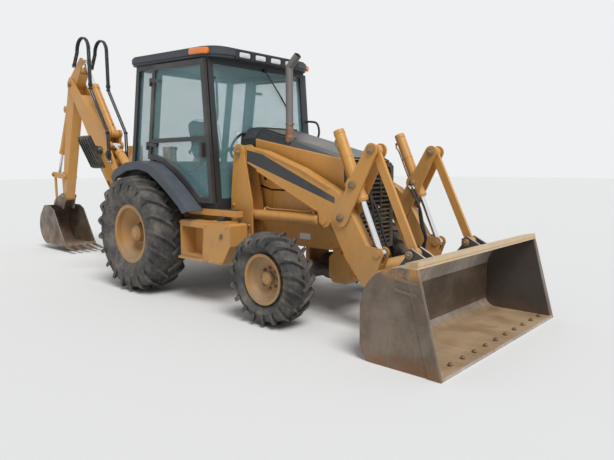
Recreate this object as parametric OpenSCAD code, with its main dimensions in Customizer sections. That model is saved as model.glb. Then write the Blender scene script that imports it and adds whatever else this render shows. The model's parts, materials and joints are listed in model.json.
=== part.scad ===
// Backhoe loader, full size. Millimetres, +X forward, +Y left, +Z up.
// Side profiles are drawn in the XZ plane with X counted from the rear axle.

/* [Stance] */
// Distance between front and rear axle
wheelbase = 2134; // [2090:2:2180]
// Radius of a rear tyre over its lugs
rear_tyre_r = 655; // [640:1:670]
// Width of a rear tyre
rear_tyre_w = 450; // [430:2:480]
// Distance of a rear tyre's middle from the machine's middle
rear_track_half = 835; // [828:1:845]
// Radius of a front tyre over its lugs
front_tyre_r = 420; // [405:1:430]
// Width of a front tyre
front_tyre_w = 310; // [280:2:320]
// Distance of a front tyre's middle from the machine's middle
front_track_half = 840; // [836:1:850]

/* [Frame] */
// Distance of a frame rail's outer face from the middle
rail_y = 345; // [335:1:350]
// Plate thickness of the frame rails
rail_t = 30; // [20:1:40]
// Height of the rails' top edge
rail_top = 880; // [860:1:890]
// Height of the rails' bottom edge
rail_bottom = 640; // [600:1:680]

/* [Loader] */
// Distance of a loader arm's middle plane from the middle
arm_y = 470; // [465:1:480]
// Width of a loader arm's box
arm_w = 104; // [80:1:110]
// Height of the loader arms' pivot
tower_z = 1550; // [1520:1:1570]
// Half width of the loader bucket
bucket_half = 1043; // [1000:1:1060]
// Thickness of the loader bucket's shell
bucket_t = 14; // [8:1:18]
// Radius of the loader's main pins
pin_r = 25; // [20:1:28]
// Outer radius of a lift cylinder's barrel
lift_barrel_r = 50; // [42:1:54]
// Radius of a lift cylinder's rod
lift_rod_r = 27; // [20:1:32]
// Outer radius of a tilt cylinder's barrel
tilt_barrel_r = 48; // [40:1:52]
// Radius of a tilt cylinder's rod
tilt_rod_r = 25; // [18:1:30]

/* [Cab] */
// Half width of the cab over its pillars
cab_half = 700; // [680:1:710]
// Side of a cab pillar
pillar = 64; // [50:1:70]
// Underside of the cab roof
roof_z = 2490; // [2480:1:2500]
// Thickness of the cab roof at its edge
roof_t = 110; // [100:1:130]
// Rise of the roof from the windscreen to the rear window
roof_rise = 60; // [40:5:80]
// Height of the cab floor's upper face
floor_z = 1010; // [1000:1:1020]
// Thickness of the window glass
glass_t = 6; // [4:1:8]

/* [Hood] */
// Distance of a fender's outer edge from the middle
fender_out = 925; // [900:5:960]
// Half width of the hood
hood_half = 355; // [340:1:362]
// Sheet thickness of the hood
hood_t = 5; // [3:1:8]
// Outer radius of the exhaust stack
stack_r = 36; // [28:1:42]

/* [Backhoe] */
// Half width of the boom's box
boom_half = 85; // [70:1:95]
// Side plate thickness at the boom's ends
boom_plate = 22; // [14:1:26]
// Half width of the dipper's box
dipper_half = 76; // [60:1:80]
// Half width of the backhoe bucket
hoe_bucket_half = 265; // [220:1:300]
// Shell thickness of the backhoe bucket
hoe_bucket_t = 12; // [8:1:16]
// Radius of the backhoe's pins
hoe_pin_r = 22; // [18:1:26]
// Radius of the swing pin
swing_pin_r = 40; // [30:1:50]

/* [Stabilizers] */
// Thickness of a stabilizer arm along X
stab_t = 90; // [60:1:100]
// Length of a stabilizer pad along X
pad_x = 290; // [200:5:300]
// Length of a stabilizer pad along its arm
pad_len = 430; // [360:5:450]

/* [Fits] */
// Running clearance round a pin
pin_gap = 0.05; // [0.02:0.01:0.1]
// Side clearance between moving plates
side_gap = 6; // [5:1:8]
// Gap of a seat where two bodies meet
seat_gap = 0.3; // [0.2:0.05:0.5]

/* [Hidden] */
$fn = 48;
x_shift = 205.5;

// ---------- axles
rear_z = rear_tyre_r;
front_z = front_tyre_r;

// ---------- loader geometry, side view, at rest
arm_pivot = [1375, tower_z];
lift_base = [1400, 930];
lift_eye = [2475, 925];
lever_pivot = [2680, 965];
trunnion = [2805, 1243];
lever_top = [2990, 1530];
bucket_ear = [3372, 722];
bucket_pivot = [3120, 330];
tilt_eye = [3052, 690];
tilt_top = 505;
tilt_gland = 145;

// ---------- backhoe geometry, side view, at rest
swing_x = -1380;
hoe_boom_foot = [-1600, 800];
dipper_joint = [-3240, 2710];
boom_len = norm(dipper_joint - hoe_boom_foot);
boom_u = (dipper_joint - hoe_boom_foot) / boom_len;
boom_n = [boom_u[1], -boom_u[0]];
function on_boom(s, n) = hoe_boom_foot + s * boom_u + n * boom_n;
boom_base = [-1480, 1180];
boom_eye = on_boom(1010, 235);
crowd_base = on_boom(1160, 330);
crowd_eye = [-2900, 3030];
dipper_tip = [-3735, 905];
dipper_len = norm(dipper_tip - dipper_joint);
dip_u = (dipper_tip - dipper_joint) / dipper_len;
dip_n = [dip_u[1], -dip_u[0]];
function on_dipper(s, n) = dipper_joint + s * dip_u + n * dip_n;
curl_base = on_dipper(430, 190);
guide_pin = on_dipper(dipper_len - 350, 10);
guide_top = [-4065, 1275];
curl_pin = [-4055, 800];

// ---------- stabilizer geometry, in the YZ plane of the left side
stab_x = -1060;
stab_pivot = [340, 620];
pad_pivot = [800, 1620];
stab_u = (pad_pivot - stab_pivot) / norm(pad_pivot - stab_pivot);
stab_n = [stab_u[1], -stab_u[0]];
stab_base = [262, 1620];
stab_eye = stab_pivot + 380 * stab_u;

// ---------- colours
paint = "#d99a2b";
dark = "#33373a";
steel = "#8b7a66";
rubber = "#3a3733";
roof_grey = "#777b7c";
chrome = "#c9ccd0";
glass = [0.45, 0.62, 0.58, 0.45];

// ---------- helpers
function unit(v) = v / norm(v);
function left_of(v) = [-v[1], v[0]];
// Polygon moved inwards by t, for corners given counter-clockwise
function inset(p, t) = [for (i = [0:len(p) - 1])
    let (a = p[(i + len(p) - 1) % len(p)], b = p[i], c = p[(i + 1) % len(p)],
         n1 = left_of(unit(b - a)), n2 = left_of(unit(c - b)))
    b + (n1 + n2) * t / (1 + n1 * n2)];
function arc(c, r, a0, a1, n) = [for (i = [0:n]) let (a = a0 + (a1 - a0) * i / n)
    c + r * [cos(a), sin(a)]];
module box(x0, x1, y0, y1, z0, z1) translate([x0, y0, z0]) cube([x1 - x0, y1 - y0, z1 - z0]);
module both() { children(); mirror([0, 1, 0]) children(); }
// Side profile (XZ) given thickness from y0 to y1
module slab(y0, y1) translate([0, y1, 0]) rotate([90, 0, 0]) linear_extrude(y1 - y0) children();
// Front profile (YZ) given thickness from x0 to x1
module cross(x0, x1) translate([x0, 0, 0]) rotate([90, 0, 90]) linear_extrude(x1 - x0) children();
module pin(p, r, y0, y1) translate([p[0], y0, p[1]]) rotate([-90, 0, 0]) cylinder(r = r, h = y1 - y0);
// Round bar in a plane of constant Y from point a to point b
module rod(a, b, r, y = 0) let (d = b - a)
    translate([a[0], y, a[1]]) rotate([0, atan2(d[0], d[1]), 0]) cylinder(r = r, h = norm(d));
module disc(p, r) translate(p) circle(r = r);
// Flat link between two round ends
module link(a, b, ra, rb) {
    n = left_of(unit(b - a));
    disc(a, ra);
    disc(b, rb);
    polygon([a + n * ra, b + n * rb, b - n * rb, a - n * ra]);
}
// Link of two round ends with a narrower bar between them
module bar_link(a, b, r, w) {
    disc(a, r);
    disc(b, r);
    link(a, b, w, w);
}
module ring2d(p, ro, ri) difference() { disc(p, ro); disc(p, ri); }

// ---------- chassis
nose_back = wheelbase + 286;
nose_front = wheelbase + 426;
module rail_profile() difference() {
    polygon([[-960, rail_top], [-960, 560], [-700, rail_bottom - 60], [-420, rail_bottom],
        [nose_back, rail_bottom], [nose_front, rail_bottom + 60], [nose_front, rail_top - 30], [1700, rail_top]]);
    polygon([[-260, rail_bottom - 10], [-180, rear_z + 135], [180, rear_z + 135], [260, rail_bottom - 10]]);
}
module chassis_frame() color(paint) {
    both() slab(rail_y - rail_t, rail_y) rail_profile();
    box(-940, -915, -rail_y + rail_t, rail_y - rail_t, rail_bottom + 20, rail_top - 20);
    pin([300, 810], 28, -rail_y + rail_t, rail_y - rail_t);
    // shelf of the radiator
    box(nose_front - 190, nose_front - 70, -rail_y + rail_t, rail_y - rail_t, rail_top - 45, rail_top - 20);
    box(nose_front - 260, nose_front - 235, -rail_y + rail_t, rail_y - rail_t, rail_bottom + 5, rail_top - 60);
    // fixed side sheets under the hood, with a seam
    both() slab(rail_y - 6, rail_y) {
        polygon([[1425, rail_top - 20], [1640, rail_top - 20], [1640, 1165], [1425, 1210]]);
        polygon([[1644, rail_top - 20], [nose_front - 230, rail_top - 40], [nose_front - 230, 1120],
            [nose_front - 260, 1160], [1644, 1165]]);
    }
    front_bolster();
}

// Two plates each side that carry an arm's pivot and the foot of a lift cylinder
tower_gap = arm_w / 2 + side_gap;
tower_plate = 20;
module tower_profile() difference() {
    union() {
        polygon([[1250, rail_bottom + 20], [1250, 1100], [1300, tower_z - 20], [1450, tower_z - 20],
            [1560, 1050], [1560, rail_bottom + 20]]);
        disc(arm_pivot, 76);
    }
    disc(arm_pivot, pin_r);
    disc(lift_base, pin_r);
}
module loader_towers() color(paint) both() {
    for (s = [-1, 1]) let (y = arm_y + s * (tower_gap + tower_plate / 2))
        slab(y - tower_plate / 2, y + tower_plate / 2) tower_profile();
    // back web between the plates
    box(1250, 1268, arm_y - tower_gap, arm_y + tower_gap, rail_bottom + 20, 1080);
    // foot that joins the tower to the rail
    box(1270, 1540, rail_y, arm_y - tower_gap - tower_plate, rail_bottom + 30, rail_top - 10);
    // the pins themselves
    pin(arm_pivot, pin_r, arm_y - tower_gap - tower_plate - 12, arm_y + tower_gap + tower_plate + 12);
    pin(lift_base, pin_r, arm_y - tower_gap - tower_plate - 12, arm_y + tower_gap + tower_plate + 12);
}

tie_y = 240;
tie_t = 30;
tie_r = 22;
tie_front_x = wheelbase + 506;
tie_front_z = 420;
tie_rear_x = -1060;
tie_rear_z = 430;
bolster_half = 150;
hanger_x = 190;
module front_bolster() {
    // hangers before and behind the axle
    for (s = [-1, 1]) difference() {
        union() {
            box(wheelbase + s * hanger_x - 25, wheelbase + s * hanger_x + 25, -bolster_half, bolster_half,
                front_z, rail_bottom + 60);
            translate([wheelbase + s * hanger_x - 25, 0, front_z]) rotate([0, 90, 0])
                cylinder(r = 95, h = 50);
        }
        translate([wheelbase + s * hanger_x - 30, 0, front_z]) rotate([0, 90, 0]) cylinder(r = 42, h = 60);
    }
    box(wheelbase - hanger_x - 25, wheelbase + hanger_x + 25, -rail_y + rail_t, rail_y - rail_t, rail_bottom + 60,
        rail_bottom + 100);
    // weight block under the nose
    slab(-300, 300) let (a = wheelbase + hanger_x + 26, b = wheelbase + 466, c = 50)
        polygon([[a + c, 330], [b - c, 330], [b, 330 + c], [b, 610 - c], [b - c, 610], [a + c, 610], [a, 610 - c],
            [a, 330 + c]]);
    box(nose_front - 150, nose_front - 52, -rail_y + rail_t, rail_y - rail_t, 609, rail_bottom + 60);
    // tie-down lugs
    both() slab(tie_y - tie_t / 2, tie_y + tie_t / 2) difference() {
        union() {
            disc([tie_front_x, tie_front_z], 42);
            polygon([[wheelbase + 456, tie_front_z - 30], [wheelbase + 456, tie_front_z + 60], [tie_front_x, tie_front_z + 42],
                [tie_front_x, tie_front_z - 42]]);
        }
        disc([tie_front_x, tie_front_z], tie_r);
    }
}
king_y = front_track_half - 140;
module front_axle() color(dark) difference() {
    axle_beam();
    translate([steer_x, -240, steer_z]) rotate([-90, 0, 0]) cylinder(r = steer_rod_r + 0.3, h = 480);
}
module axle_beam() {
    translate([wheelbase - hanger_x - 24, 0, front_z]) rotate([0, 90, 0]) cylinder(r = 42, h = 2 * hanger_x + 48);
    translate([wheelbase, 0, front_z]) {
        sphere(r = 135);
        both() translate([0, 80, 0]) rotate([-90, 0, 0]) cylinder(r1 = 85, r2 = 62, h = king_y - 190);
        // yoke round the kingpin
        both() for (s = [-1, 1]) translate([0, king_y, s * 92]) {
            cylinder(r = 48, h = 36, center = true);
            translate([-40, -120, -18]) cube([80, 120, 36]);
        }
        both() translate([-55, king_y - 135, -110]) cube([110, 30, 220]);
        // kingpins
        both() translate([0, king_y, 0]) cylinder(r = king_r, h = 236, center = true);
    }
    // steering cylinder behind the beam
    translate([steer_x, -230, steer_z]) rotate([-90, 0, 0]) cylinder(r = 36, h = 460);
    both() translate([steer_x - 20, 120, steer_z - 30]) cube([90, 40, 70]);
}
king_r = 20;
steer_x = wheelbase - 125;
steer_z = front_z - 40;
steer_rod_r = 16;
// One rod through the steering cylinder, with a joint behind each knuckle's arm
module steering_rod() color(chrome) {
    translate([steer_x, -king_y + 55, steer_z]) rotate([-90, 0, 0]) cylinder(r = steer_rod_r, h = 2 * king_y - 110);
    both() translate([steer_x, king_y - 52, steer_z]) sphere(r = 24);
}
hub_gap = 6;
module knuckle(side) scale([1, side, 1]) color(dark) translate([wheelbase, king_y, front_z]) {
    difference() {
        union() {
            cylinder(r = 44, h = 2 * (92 - 18) - 2, center = true);
            rotate([-90, 0, 0]) cylinder(r = 66, h = 70);
            translate([0, 70, 0]) rotate([-90, 0, 0]) cylinder(r = 58, h = 55.7);
            // steering arm that carries the rod's joint
            translate([-98, -18, -58]) cube([98, 36, 36]);
            translate([-98, -18, -90]) cube([36, 36, 50]);
            translate([-150, -62, -90]) cube([58, 80, 90 - 40 - 24.3]);
        }
        cylinder(r = king_r + pin_gap, h = 300, center = true);
    }
}
module knuckle_left() knuckle(1);
module knuckle_right() knuckle(-1);

module rear_axle() translate([0, 0, rear_z]) {
    sphere(r = 190);
    both() translate([0, 100, 0]) rotate([-90, 0, 0]) cylinder(r1 = 150, r2 = 105, h = 340);
    both() translate([0, 440, 0]) rotate([-90, 0, 0]) cylinder(r = 105, h = 60);
    both() translate([0, 500, 0]) rotate([-90, 0, 0]) cylinder(r = 150, h = 90);
    both() translate([0, 590, 0]) rotate([-90, 0, 0]) cylinder(r = 82, h = rear_track_half - 40 - 590.3);
    both() box(-130, 130, rail_y - rail_t, rail_y, 90, 134.7);
    translate([150, 0, 0]) rotate([0, 90, 0]) cylinder(r = 90, h = 200);
    translate([350, 0, 0]) rotate([0, 90, 0]) cylinder(r = 45, h = 250 - seat_gap);
}
module engine() {
    // gearbox and torque converter
    box(600, 1230, -170, 170, 560, 860);
    translate([1230 + seat_gap, 0, 860]) rotate([0, 90, 0]) cylinder(r = 115, h = 271);
    // block, sump, rocker cover
    box(1500, 2200, -190, 190, 745, 1180);
    box(1560, 1900, -140, 140, 640, 745);
    box(1540, 2160, -110, 110, 1180, 1290);
    for (i = [0:3]) translate([1620 + i * 150, -190, 1060]) rotate([90, 0, 0]) cylinder(r = 38, h = 55);
    box(1560, 2130, -290, -245, 1010, 1110);
    translate([1700, 190, 900]) rotate([-90, 0, 0]) cylinder(r = 55, h = 90);
    translate([2200, 0, 980]) rotate([0, 90, 0]) cylinder(r = 60, h = 60);
    translate([2260, 0, 980]) rotate([0, 90, 0]) cylinder(r = 90, h = 25);
    translate([2285, 0, 980]) for (a = [0:60:300]) rotate([a, 0, 0]) translate([-2, -32, 60]) cube([8, 64, 150]);
    translate([2284, 0, 980]) rotate([0, 90, 0]) cylinder(r = 80, h = 14);
    // radiator
    box(nose_front - 180, nose_front - 80, -305, 305, rail_top - 20, 1350);
}
module driveline() color(dark) {
    rear_axle();
    engine();
}
// Muffler pipe through the notch of the hood's top
stack_y = -280;
stack_x = 1830;
module exhaust_stack() color("#55585a") {
    translate([stack_x, stack_y, 1110]) cylinder(r = stack_r, h = 1241);
    translate([stack_x, stack_y, 1250]) cylinder(r = stack_r + 22, h = 260);
    translate([stack_x, stack_y, 2351]) sphere(r = stack_r);
    translate([stack_x, stack_y, 2351]) rotate([0, 50, 0]) difference() {
        cylinder(r = stack_r, h = 150);
        translate([0, 0, 20]) cylinder(r = stack_r - 4, h = 140);
        translate([-60, -60, 130]) rotate([0, -32, 0]) translate([-60, 0, 0]) cube([240, 120, 120]);
    }
}

// ---------- nose and hood
nose_x = wheelbase + 466;
hood_pivot = [nose_x, 1212];
hood_pin_r = 11;
module nose_outline(d) polygon([[-hood_half + 10 + d, 625 + d], [hood_half - 10 - d, 625 + d],
    [hood_half - 10 - d, 1400 - d], [hood_half - 60 - d / 2, 1440 - d], [-hood_half + 60 + d / 2, 1440 - d],
    [-hood_half + 10 + d, 1400 - d]]);
module grille() color(dark) {
    cross(nose_x - 28, nose_x + 22) difference() {
        nose_outline(0);
        nose_outline(42);
    }
    for (z = [700:42:1372]) translate([nose_x - 4, 0, z]) rotate([0, 25, 0])
        translate([-18, -hood_half + 50, -3]) cube([36, 2 * (hood_half - 50), 6]);
    for (y = [-150, 0, 150]) box(nose_x + 8, nose_x + 16, y - 6, y + 6, 660, 1402);
    both() box(nose_front, nose_x - 24, hood_half - 60, hood_half - 25, rail_top - 100, rail_top - 30);
    // the hood's hinge pins
    both() pin(hood_pivot, hood_pin_r, hood_half - 20, hood_half + 2);
}
hood_x0 = 1420;
hood_x1 = nose_x - 35;
hood_top_z = [1790, 1485];
hood_edge_z = [1676, 1458];
// Cross-section of the hood: i = 0 at the rear, 1 at the nose, t further in
module hood_section(i, t, low) polygon([[-hood_half + t, low], [hood_half - t, low],
    [hood_half - t, hood_edge_z[i] - t / 2], [hood_half - 95 - t / 2, hood_top_z[i] - t],
    [-hood_half + 95 + t / 2, hood_top_z[i] - t], [-hood_half + t, hood_edge_z[i] - t / 2]]);
module hood_block(t, x0, x1) hull() {
    cross(x0, x0 + 1) hood_section(0, t, hood_edge_z[0] - 40);
    cross(x1 - 1, x1) hood_section(1, t, hood_edge_z[1] - 40);
}
notch_x = stack_x + stack_r + 25;
module hood_top() difference() {
    hood_block(0, hood_x0, hood_x1);
    hood_block(hood_t, hood_x0 - 8, hood_x1 + 8);
    // open below
    slab(-hood_half + hood_t, hood_half - hood_t) polygon([[hood_x0 - 10, hood_edge_z[0] - 90],
        [hood_x1 + 10, hood_edge_z[1] - 90], [hood_x1 + 10, hood_edge_z[1] - 25], [hood_x0 - 10, hood_edge_z[0] - 25]]);
    box(hood_x0 - 10, notch_x, stack_y - stack_r - 27, stack_y + stack_r + 27, 1500, 1900);
}
module hood_sides() both() slab(hood_half - hood_t, hood_half)
    polygon([[hood_x0, hood_edge_z[0] - 2], [hood_x0, 1240], [1650, 1180], [hood_pivot[0] + 24, 1188],
        [hood_pivot[0] + 24, 1236], [hood_x1, 1262], [hood_x1, hood_edge_z[1] - 2]]);
module hood() color(paint) difference() {
    union() {
        hood_top();
        hood_sides();
        both() slab(hood_half - hood_t, hood_half) disc(hood_pivot, 34);
        // stiffening hoop behind the nose
        cross(hood_x1 - 20, hood_x1 - 8) difference() {
            hood_section(1, 2, hood_edge_z[1] - 6);
            hood_section(1, hood_t + 20, hood_edge_z[1] - 20);
        }
    }
    pin(hood_pivot, hood_pin_r + pin_gap, -hood_half - 1, hood_half + 1);
}
// Firewall, and the fixed strip that fills the hood's notch behind the stack
module cowl() {
    cross(a_low[0] + seat_gap, 1412) polygon([[-hood_half, floor_z - 30], [hood_half, floor_z - 30],
        [hood_half, 1690], [hood_half - 95, 1806], [-hood_half + 95, 1806], [-hood_half, 1690]]);
    // plate just under the hood's notch
    difference() {
        intersection() {
            hood_block(hood_t + 3, hood_x0 - 12, hood_x1);
            box(1411, notch_x - 7, stack_y - stack_r - 21, stack_y + stack_r + 21, 1500, 1900);
        }
        hood_block(hood_t + 9, hood_x0 - 24, hood_x1);
        translate([stack_x, stack_y, 1400]) cylinder(r = stack_r + seat_gap, h = 500);
    }
}

// ---------- cab
function along(a, b, z) = a[0] + (b[0] - a[0]) * (z - a[1]) / (b[1] - a[1]);
a_low = [1215, floor_z];
a_high = [1105, roof_z];
roof_lean = atan2(roof_rise, 1320);
// Underside of the leaning roof at x
function roof_line(x) = roof_z + (a_high[0] - x) * tan(roof_lean);
b_low = [60, 1470];
b_high = [230, roof_line(230)];
c_low = [-400, 1470];
c_high = [-215, roof_line(-215 + pillar)];
module post(a, b, w, y0, y1) slab(y0, y1) polygon([a, [a[0] + w, a[1]], [b[0] + w, b[1]], b]);
arch_gap = 42;
arch_in = 522;
module arch_side(r) intersection() {
    disc([0, rear_z], r);
    polygon([[-400, floor_z - 30], [1000, floor_z - 30], [1000, 1460], [-400, 1460]]);
}
// Box over the rear tyre inside the cab
module wheel_arch() {
    slab(arch_in, arch_in + 18) arch_side(rear_tyre_r + arch_gap + 18);
    slab(arch_in, cab_half) difference() {
        arch_side(rear_tyre_r + arch_gap + 18);
        disc([0, rear_z], rear_tyre_r + arch_gap);
    }
}
module floor_deck() {
    difference() {
        box(-400, 1215, -cab_half, cab_half, floor_z - 30, floor_z);
        both() slab(arch_in + 18, cab_half + 50) disc([0, rear_z], rear_tyre_r + arch_gap);
    }
    both() box(760, 1530, cab_half - 60, cab_half + 20, floor_z - 100, floor_z - 30);
    both() box(-340, 1215, rail_y - rail_t, rail_y, rail_top, floor_z - 30);
}
module roof_rail(x0, x1) polygon([[x0, roof_line(x0) - 60], [x1, roof_line(x1) - 60], [x1, roof_line(x1)],
    [x0, roof_line(x0)]]);
module cab_frame() color(dark) {
    cowl();
    floor_deck();
    both() {
        hinge_on_cab();
        post(a_low - [pillar, 0], a_high - [pillar, 0], pillar, cab_half - pillar, cab_half);
        post(b_low - [pillar, 0], b_high - [pillar, 0], pillar, cab_half - pillar, cab_half);
        post(c_low, c_high, pillar, cab_half - pillar, cab_half);
        // side wall under the rear quarter window
        slab(cab_half - pillar, cab_half) difference() {
            polygon([[-400, floor_z], [b_low[0] - 20, floor_z], [b_low[0], 1470], [-400, 1470]]);
            disc([0, rear_z], rear_tyre_r + arch_gap);
        }
        wheel_arch();
        // upper rail
        slab(cab_half - pillar, cab_half) roof_rail(c_high[0], a_high[0]);
    }
    slab(-cab_half + pillar, cab_half - pillar) roof_rail(a_high[0] - pillar, a_high[0]);
    slab(-cab_half + pillar, cab_half - pillar) roof_rail(c_high[0], c_high[0] + pillar);
    difference() {
        box(-400, -340, -cab_half + pillar, cab_half - pillar, floor_z, 1470);
        both() slab(arch_in + 18, cab_half) disc([0, rear_z], rear_tyre_r + arch_gap);
    }
    box(a_low[0] - pillar, a_low[0], -cab_half + pillar, cab_half - pillar, floor_z, floor_z + 70);
}
roof_half = 745;
roof_rear = -330;
roof_front = 1252;
// Roof seen from above, d further in, with large corners at the front
module roof_plan(d) {
    for (s = [-1, 1]) {
        disc([roof_front - 250, s * (roof_half - 250)], 250 - d);
        disc([roof_rear + 120, s * (roof_half - 120)], 120 - d);
    }
    translate([roof_rear + 120, -roof_half + d]) square([roof_front - 250 - roof_rear - 120, 2 * (roof_half - d)]);
    translate([roof_rear + d, -roof_half + 120]) square([roof_front - 250 - roof_rear - d, 2 * (roof_half - 120)]);
    translate([roof_front - 260, -roof_half + 250]) square([260 - d, 2 * (roof_half - 250)]);
}
lamp_half = 455;
module on_roof() translate([a_high[0], 0, roof_z + seat_gap]) rotate([0, roof_lean, 0]) translate([-a_high[0], 0, 0]) children();
module cab_roof() color(roof_grey) on_roof() difference() {
    union() {
        linear_extrude(26) roof_plan(14);
        translate([0, 0, 26]) linear_extrude(roof_t - 60) roof_plan(0);
        translate([0, 0, roof_t - 34]) linear_extrude(14) roof_plan(10);
        translate([0, 0, roof_t - 20]) linear_extrude(12) roof_plan(26);
        translate([0, 0, roof_t - 8]) linear_extrude(8) roof_plan(60);
        // raised middle
        translate([0, 0, roof_t]) linear_extrude(10) roof_plan(110);
    }
    box(roof_front - 62, roof_front + 5, -lamp_half - 1, lamp_half + 1, -5, roof_t - 23);
}
lamp_ys = [-330, -110, 110, 330];
// Lamp bar in the roof's front, and a flasher on each side
module roof_lamps() color("#222426") on_roof() {
    difference() {
        box(roof_front - 61.7, roof_front - 4, -lamp_half, lamp_half, 2, roof_t - 23.3);
        for (y = lamp_ys) box(roof_front - 24, roof_front + 1, y - 82, y + 82, 16, 76);
    }
    for (y = lamp_ys) box(roof_front - 26, roof_front - 12, y - 76, y + 76, 22, 70);
    both() box(900, 1060, roof_half + seat_gap, roof_half + 26, 28, 72);
}
module cab_glass() color(glass) {
    // windscreen
    slab(-cab_half + pillar, cab_half - pillar) let (z0 = 1760, z1 = roof_z - 60, a = a_low, b = a_high)
        polygon([[along(a, b, z0) - 30, z0], [along(a, b, z0) - 30 + glass_t, z0],
            [along(a, b, z1) - 30 + glass_t, z1], [along(a, b, z1) - 30, z1]]);
    both() slab(hood_half + 2, cab_half - pillar) let (z0 = floor_z + 70, z1 = 1760, a = a_low, b = a_high)
        polygon([[along(a, b, z0) - 30, z0], [along(a, b, z0) - 30 + glass_t, z0],
            [along(a, b, z1) - 30 + glass_t, z1], [along(a, b, z1) - 30, z1]]);
    // rear quarter
    both() slab(cab_half - 35, cab_half - 35 + glass_t)
        let (z0 = 1470, z1 = roof_line(b_high[0] - pillar) - 60, z2 = roof_line(c_high[0] + pillar) - 60)
        polygon([[along(c_low, c_high, z0) + pillar, z0], [along(b_low, b_high, z0) - pillar, z0],
            [along(b_low, b_high, z1) - pillar, z1], [along(c_low, c_high, z2) + pillar, z2]]);
    // rear window
    slab(-cab_half + pillar, cab_half - pillar) let (z0 = 1470, z1 = roof_line(c_high[0] + pillar) - 60,
        a = c_low, b = c_high)
        polygon([[along(a, b, z0) + 20, z0], [along(a, b, z0) + 20 + glass_t, z0],
            [along(a, b, z1) + 20 + glass_t, z1], [along(a, b, z1) + 20, z1]]);
}
// Tool box and tank with the steps
box_in = 620;
box_out = 840;
module side_boxes() color(paint) both() {
    difference() {
        slab(box_in, box_out) polygon([[760, 450], [1440, 450], [1570, 640], [1570, 835], [1545, 850], [760, 850]]);
        // step recess, open at the side
        slab(box_in + 60, box_out + 1) polygon([[800, 500], [1130, 500], [1160, 790], [790, 790]]);
    }
    // lower step and the shelf over the box
    box(770, 1150, box_out - 10, box_out + 40, 455, 478);
    box(775, 1200, cab_half + 24, box_out - 20, 849, 858);
    // lid of the box
    box(1230, 1500, box_in + 60, box_out - 30, 849, 868);
    box(1000, 1100, rail_y, box_in + 5, rail_bottom + 40, rail_bottom + 120);
    box(1300, 1400, arm_y + tower_gap + tower_plate + 0.3, box_in + 5, rail_bottom + 40, rail_bottom + 120);
}
hub = [0, rear_tyre_r];
fender_line = [[1010, 955], [940, 1030], [740, 1184], [540, 1318], [330, 1428], [121, 1470], [-156, 1452],
    [-421, 1368], [-505, 1290]];
// Fender line moved by d towards the wheel's middle
function fender_in(d) = [for (p = fender_line) p - d * unit(p - hub)];
function back_to_front(p) = [for (i = [len(p) - 1:-1:0]) p[i]];
module fender_band(d) polygon(concat(fender_line, back_to_front(fender_in(d))));
module fenders() color("#4a5052") both() {
    difference() {
        union() {
            slab(cab_half, fender_out) fender_band(24);
            // skirt with a rolled edge
            slab(fender_out - 16, fender_out) fender_band(92);
            slab(fender_out - 28, fender_out - 15) polygon(concat(fender_in(74), back_to_front(fender_in(92))));
            // inner wall on the cab's side
            slab(cab_half, cab_half + 22) polygon(concat(fender_line, [[-500, 1170], [-300, 1000], [600, 955]]));
        }
        slab(cab_half - 10, cab_half + 40) disc(hub, rear_tyre_r + arch_gap);
        box(-600, 1200, cab_half - 10, cab_half + 30, 800, 985);
    }
}
module seat_base() {
    box(180, 560, -190, 190, floor_z, floor_z + 30);
    box(260, 480, -110, 110, floor_z + 30, 1300);
    box(90, 590, -220, 220, 1300, 1340);
    translate([180, 0, 1440]) rotate([0, -12, 0]) box(-88, -60.3, -60, 60, -105, 320);
}
module seat_cushions() color("#2b2b2d") {
    box(180, 640, -240, 240, 1340.3, 1450);
    translate([180, 0, 1440]) rotate([0, -12, 0]) box(-60, 40, -240, 240, 20, 560);
}
wheel_c = [850, 0, 1640];
module cab_controls() color("#26282a") {
    seat_base();
    difference() {
        translate([1078, 0, floor_z]) rotate([0, -14, 0]) box(-60, 60, -110, 110, -20, 560);
        box(900, 1300, -150, 150, floor_z - 100, floor_z);
    }
    translate(wheel_c) rotate([0, -55, 0]) {
        rotate_extrude() translate([190, 0]) circle(r = 14, $fn = 24);
        cylinder(r = 40, h = 30, center = true);
        for (a = [90, 210, 330]) rotate([0, 0, a]) translate([20, -12, -6]) cube([165, 24, 12]);
    }
    rod([858, 1634.4], [1020, 1521], 28);
    // backhoe control towers
    both() {
        box(-260, -160, 180, 300, floor_z, 1420);
        for (y = [210, 270]) {
            translate([-210, y, 1420]) cylinder(r = 8, h = 200);
            translate([-210, y, 1625]) sphere(r = 24);
        }
    }
    box(560, 640, -420, -340, floor_z, 1300);
    translate([600, -380, 1300]) cylinder(r = 9, h = 180);
    translate([600, -380, 1490]) sphere(r = 24);
}

// ---------- doors
door_gap = 6;
door_t = 40;
door_low = [for (i = [5, 4, 3, 2]) fender_line[i] + 18 * unit(fender_line[i] - hub)];
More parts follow.
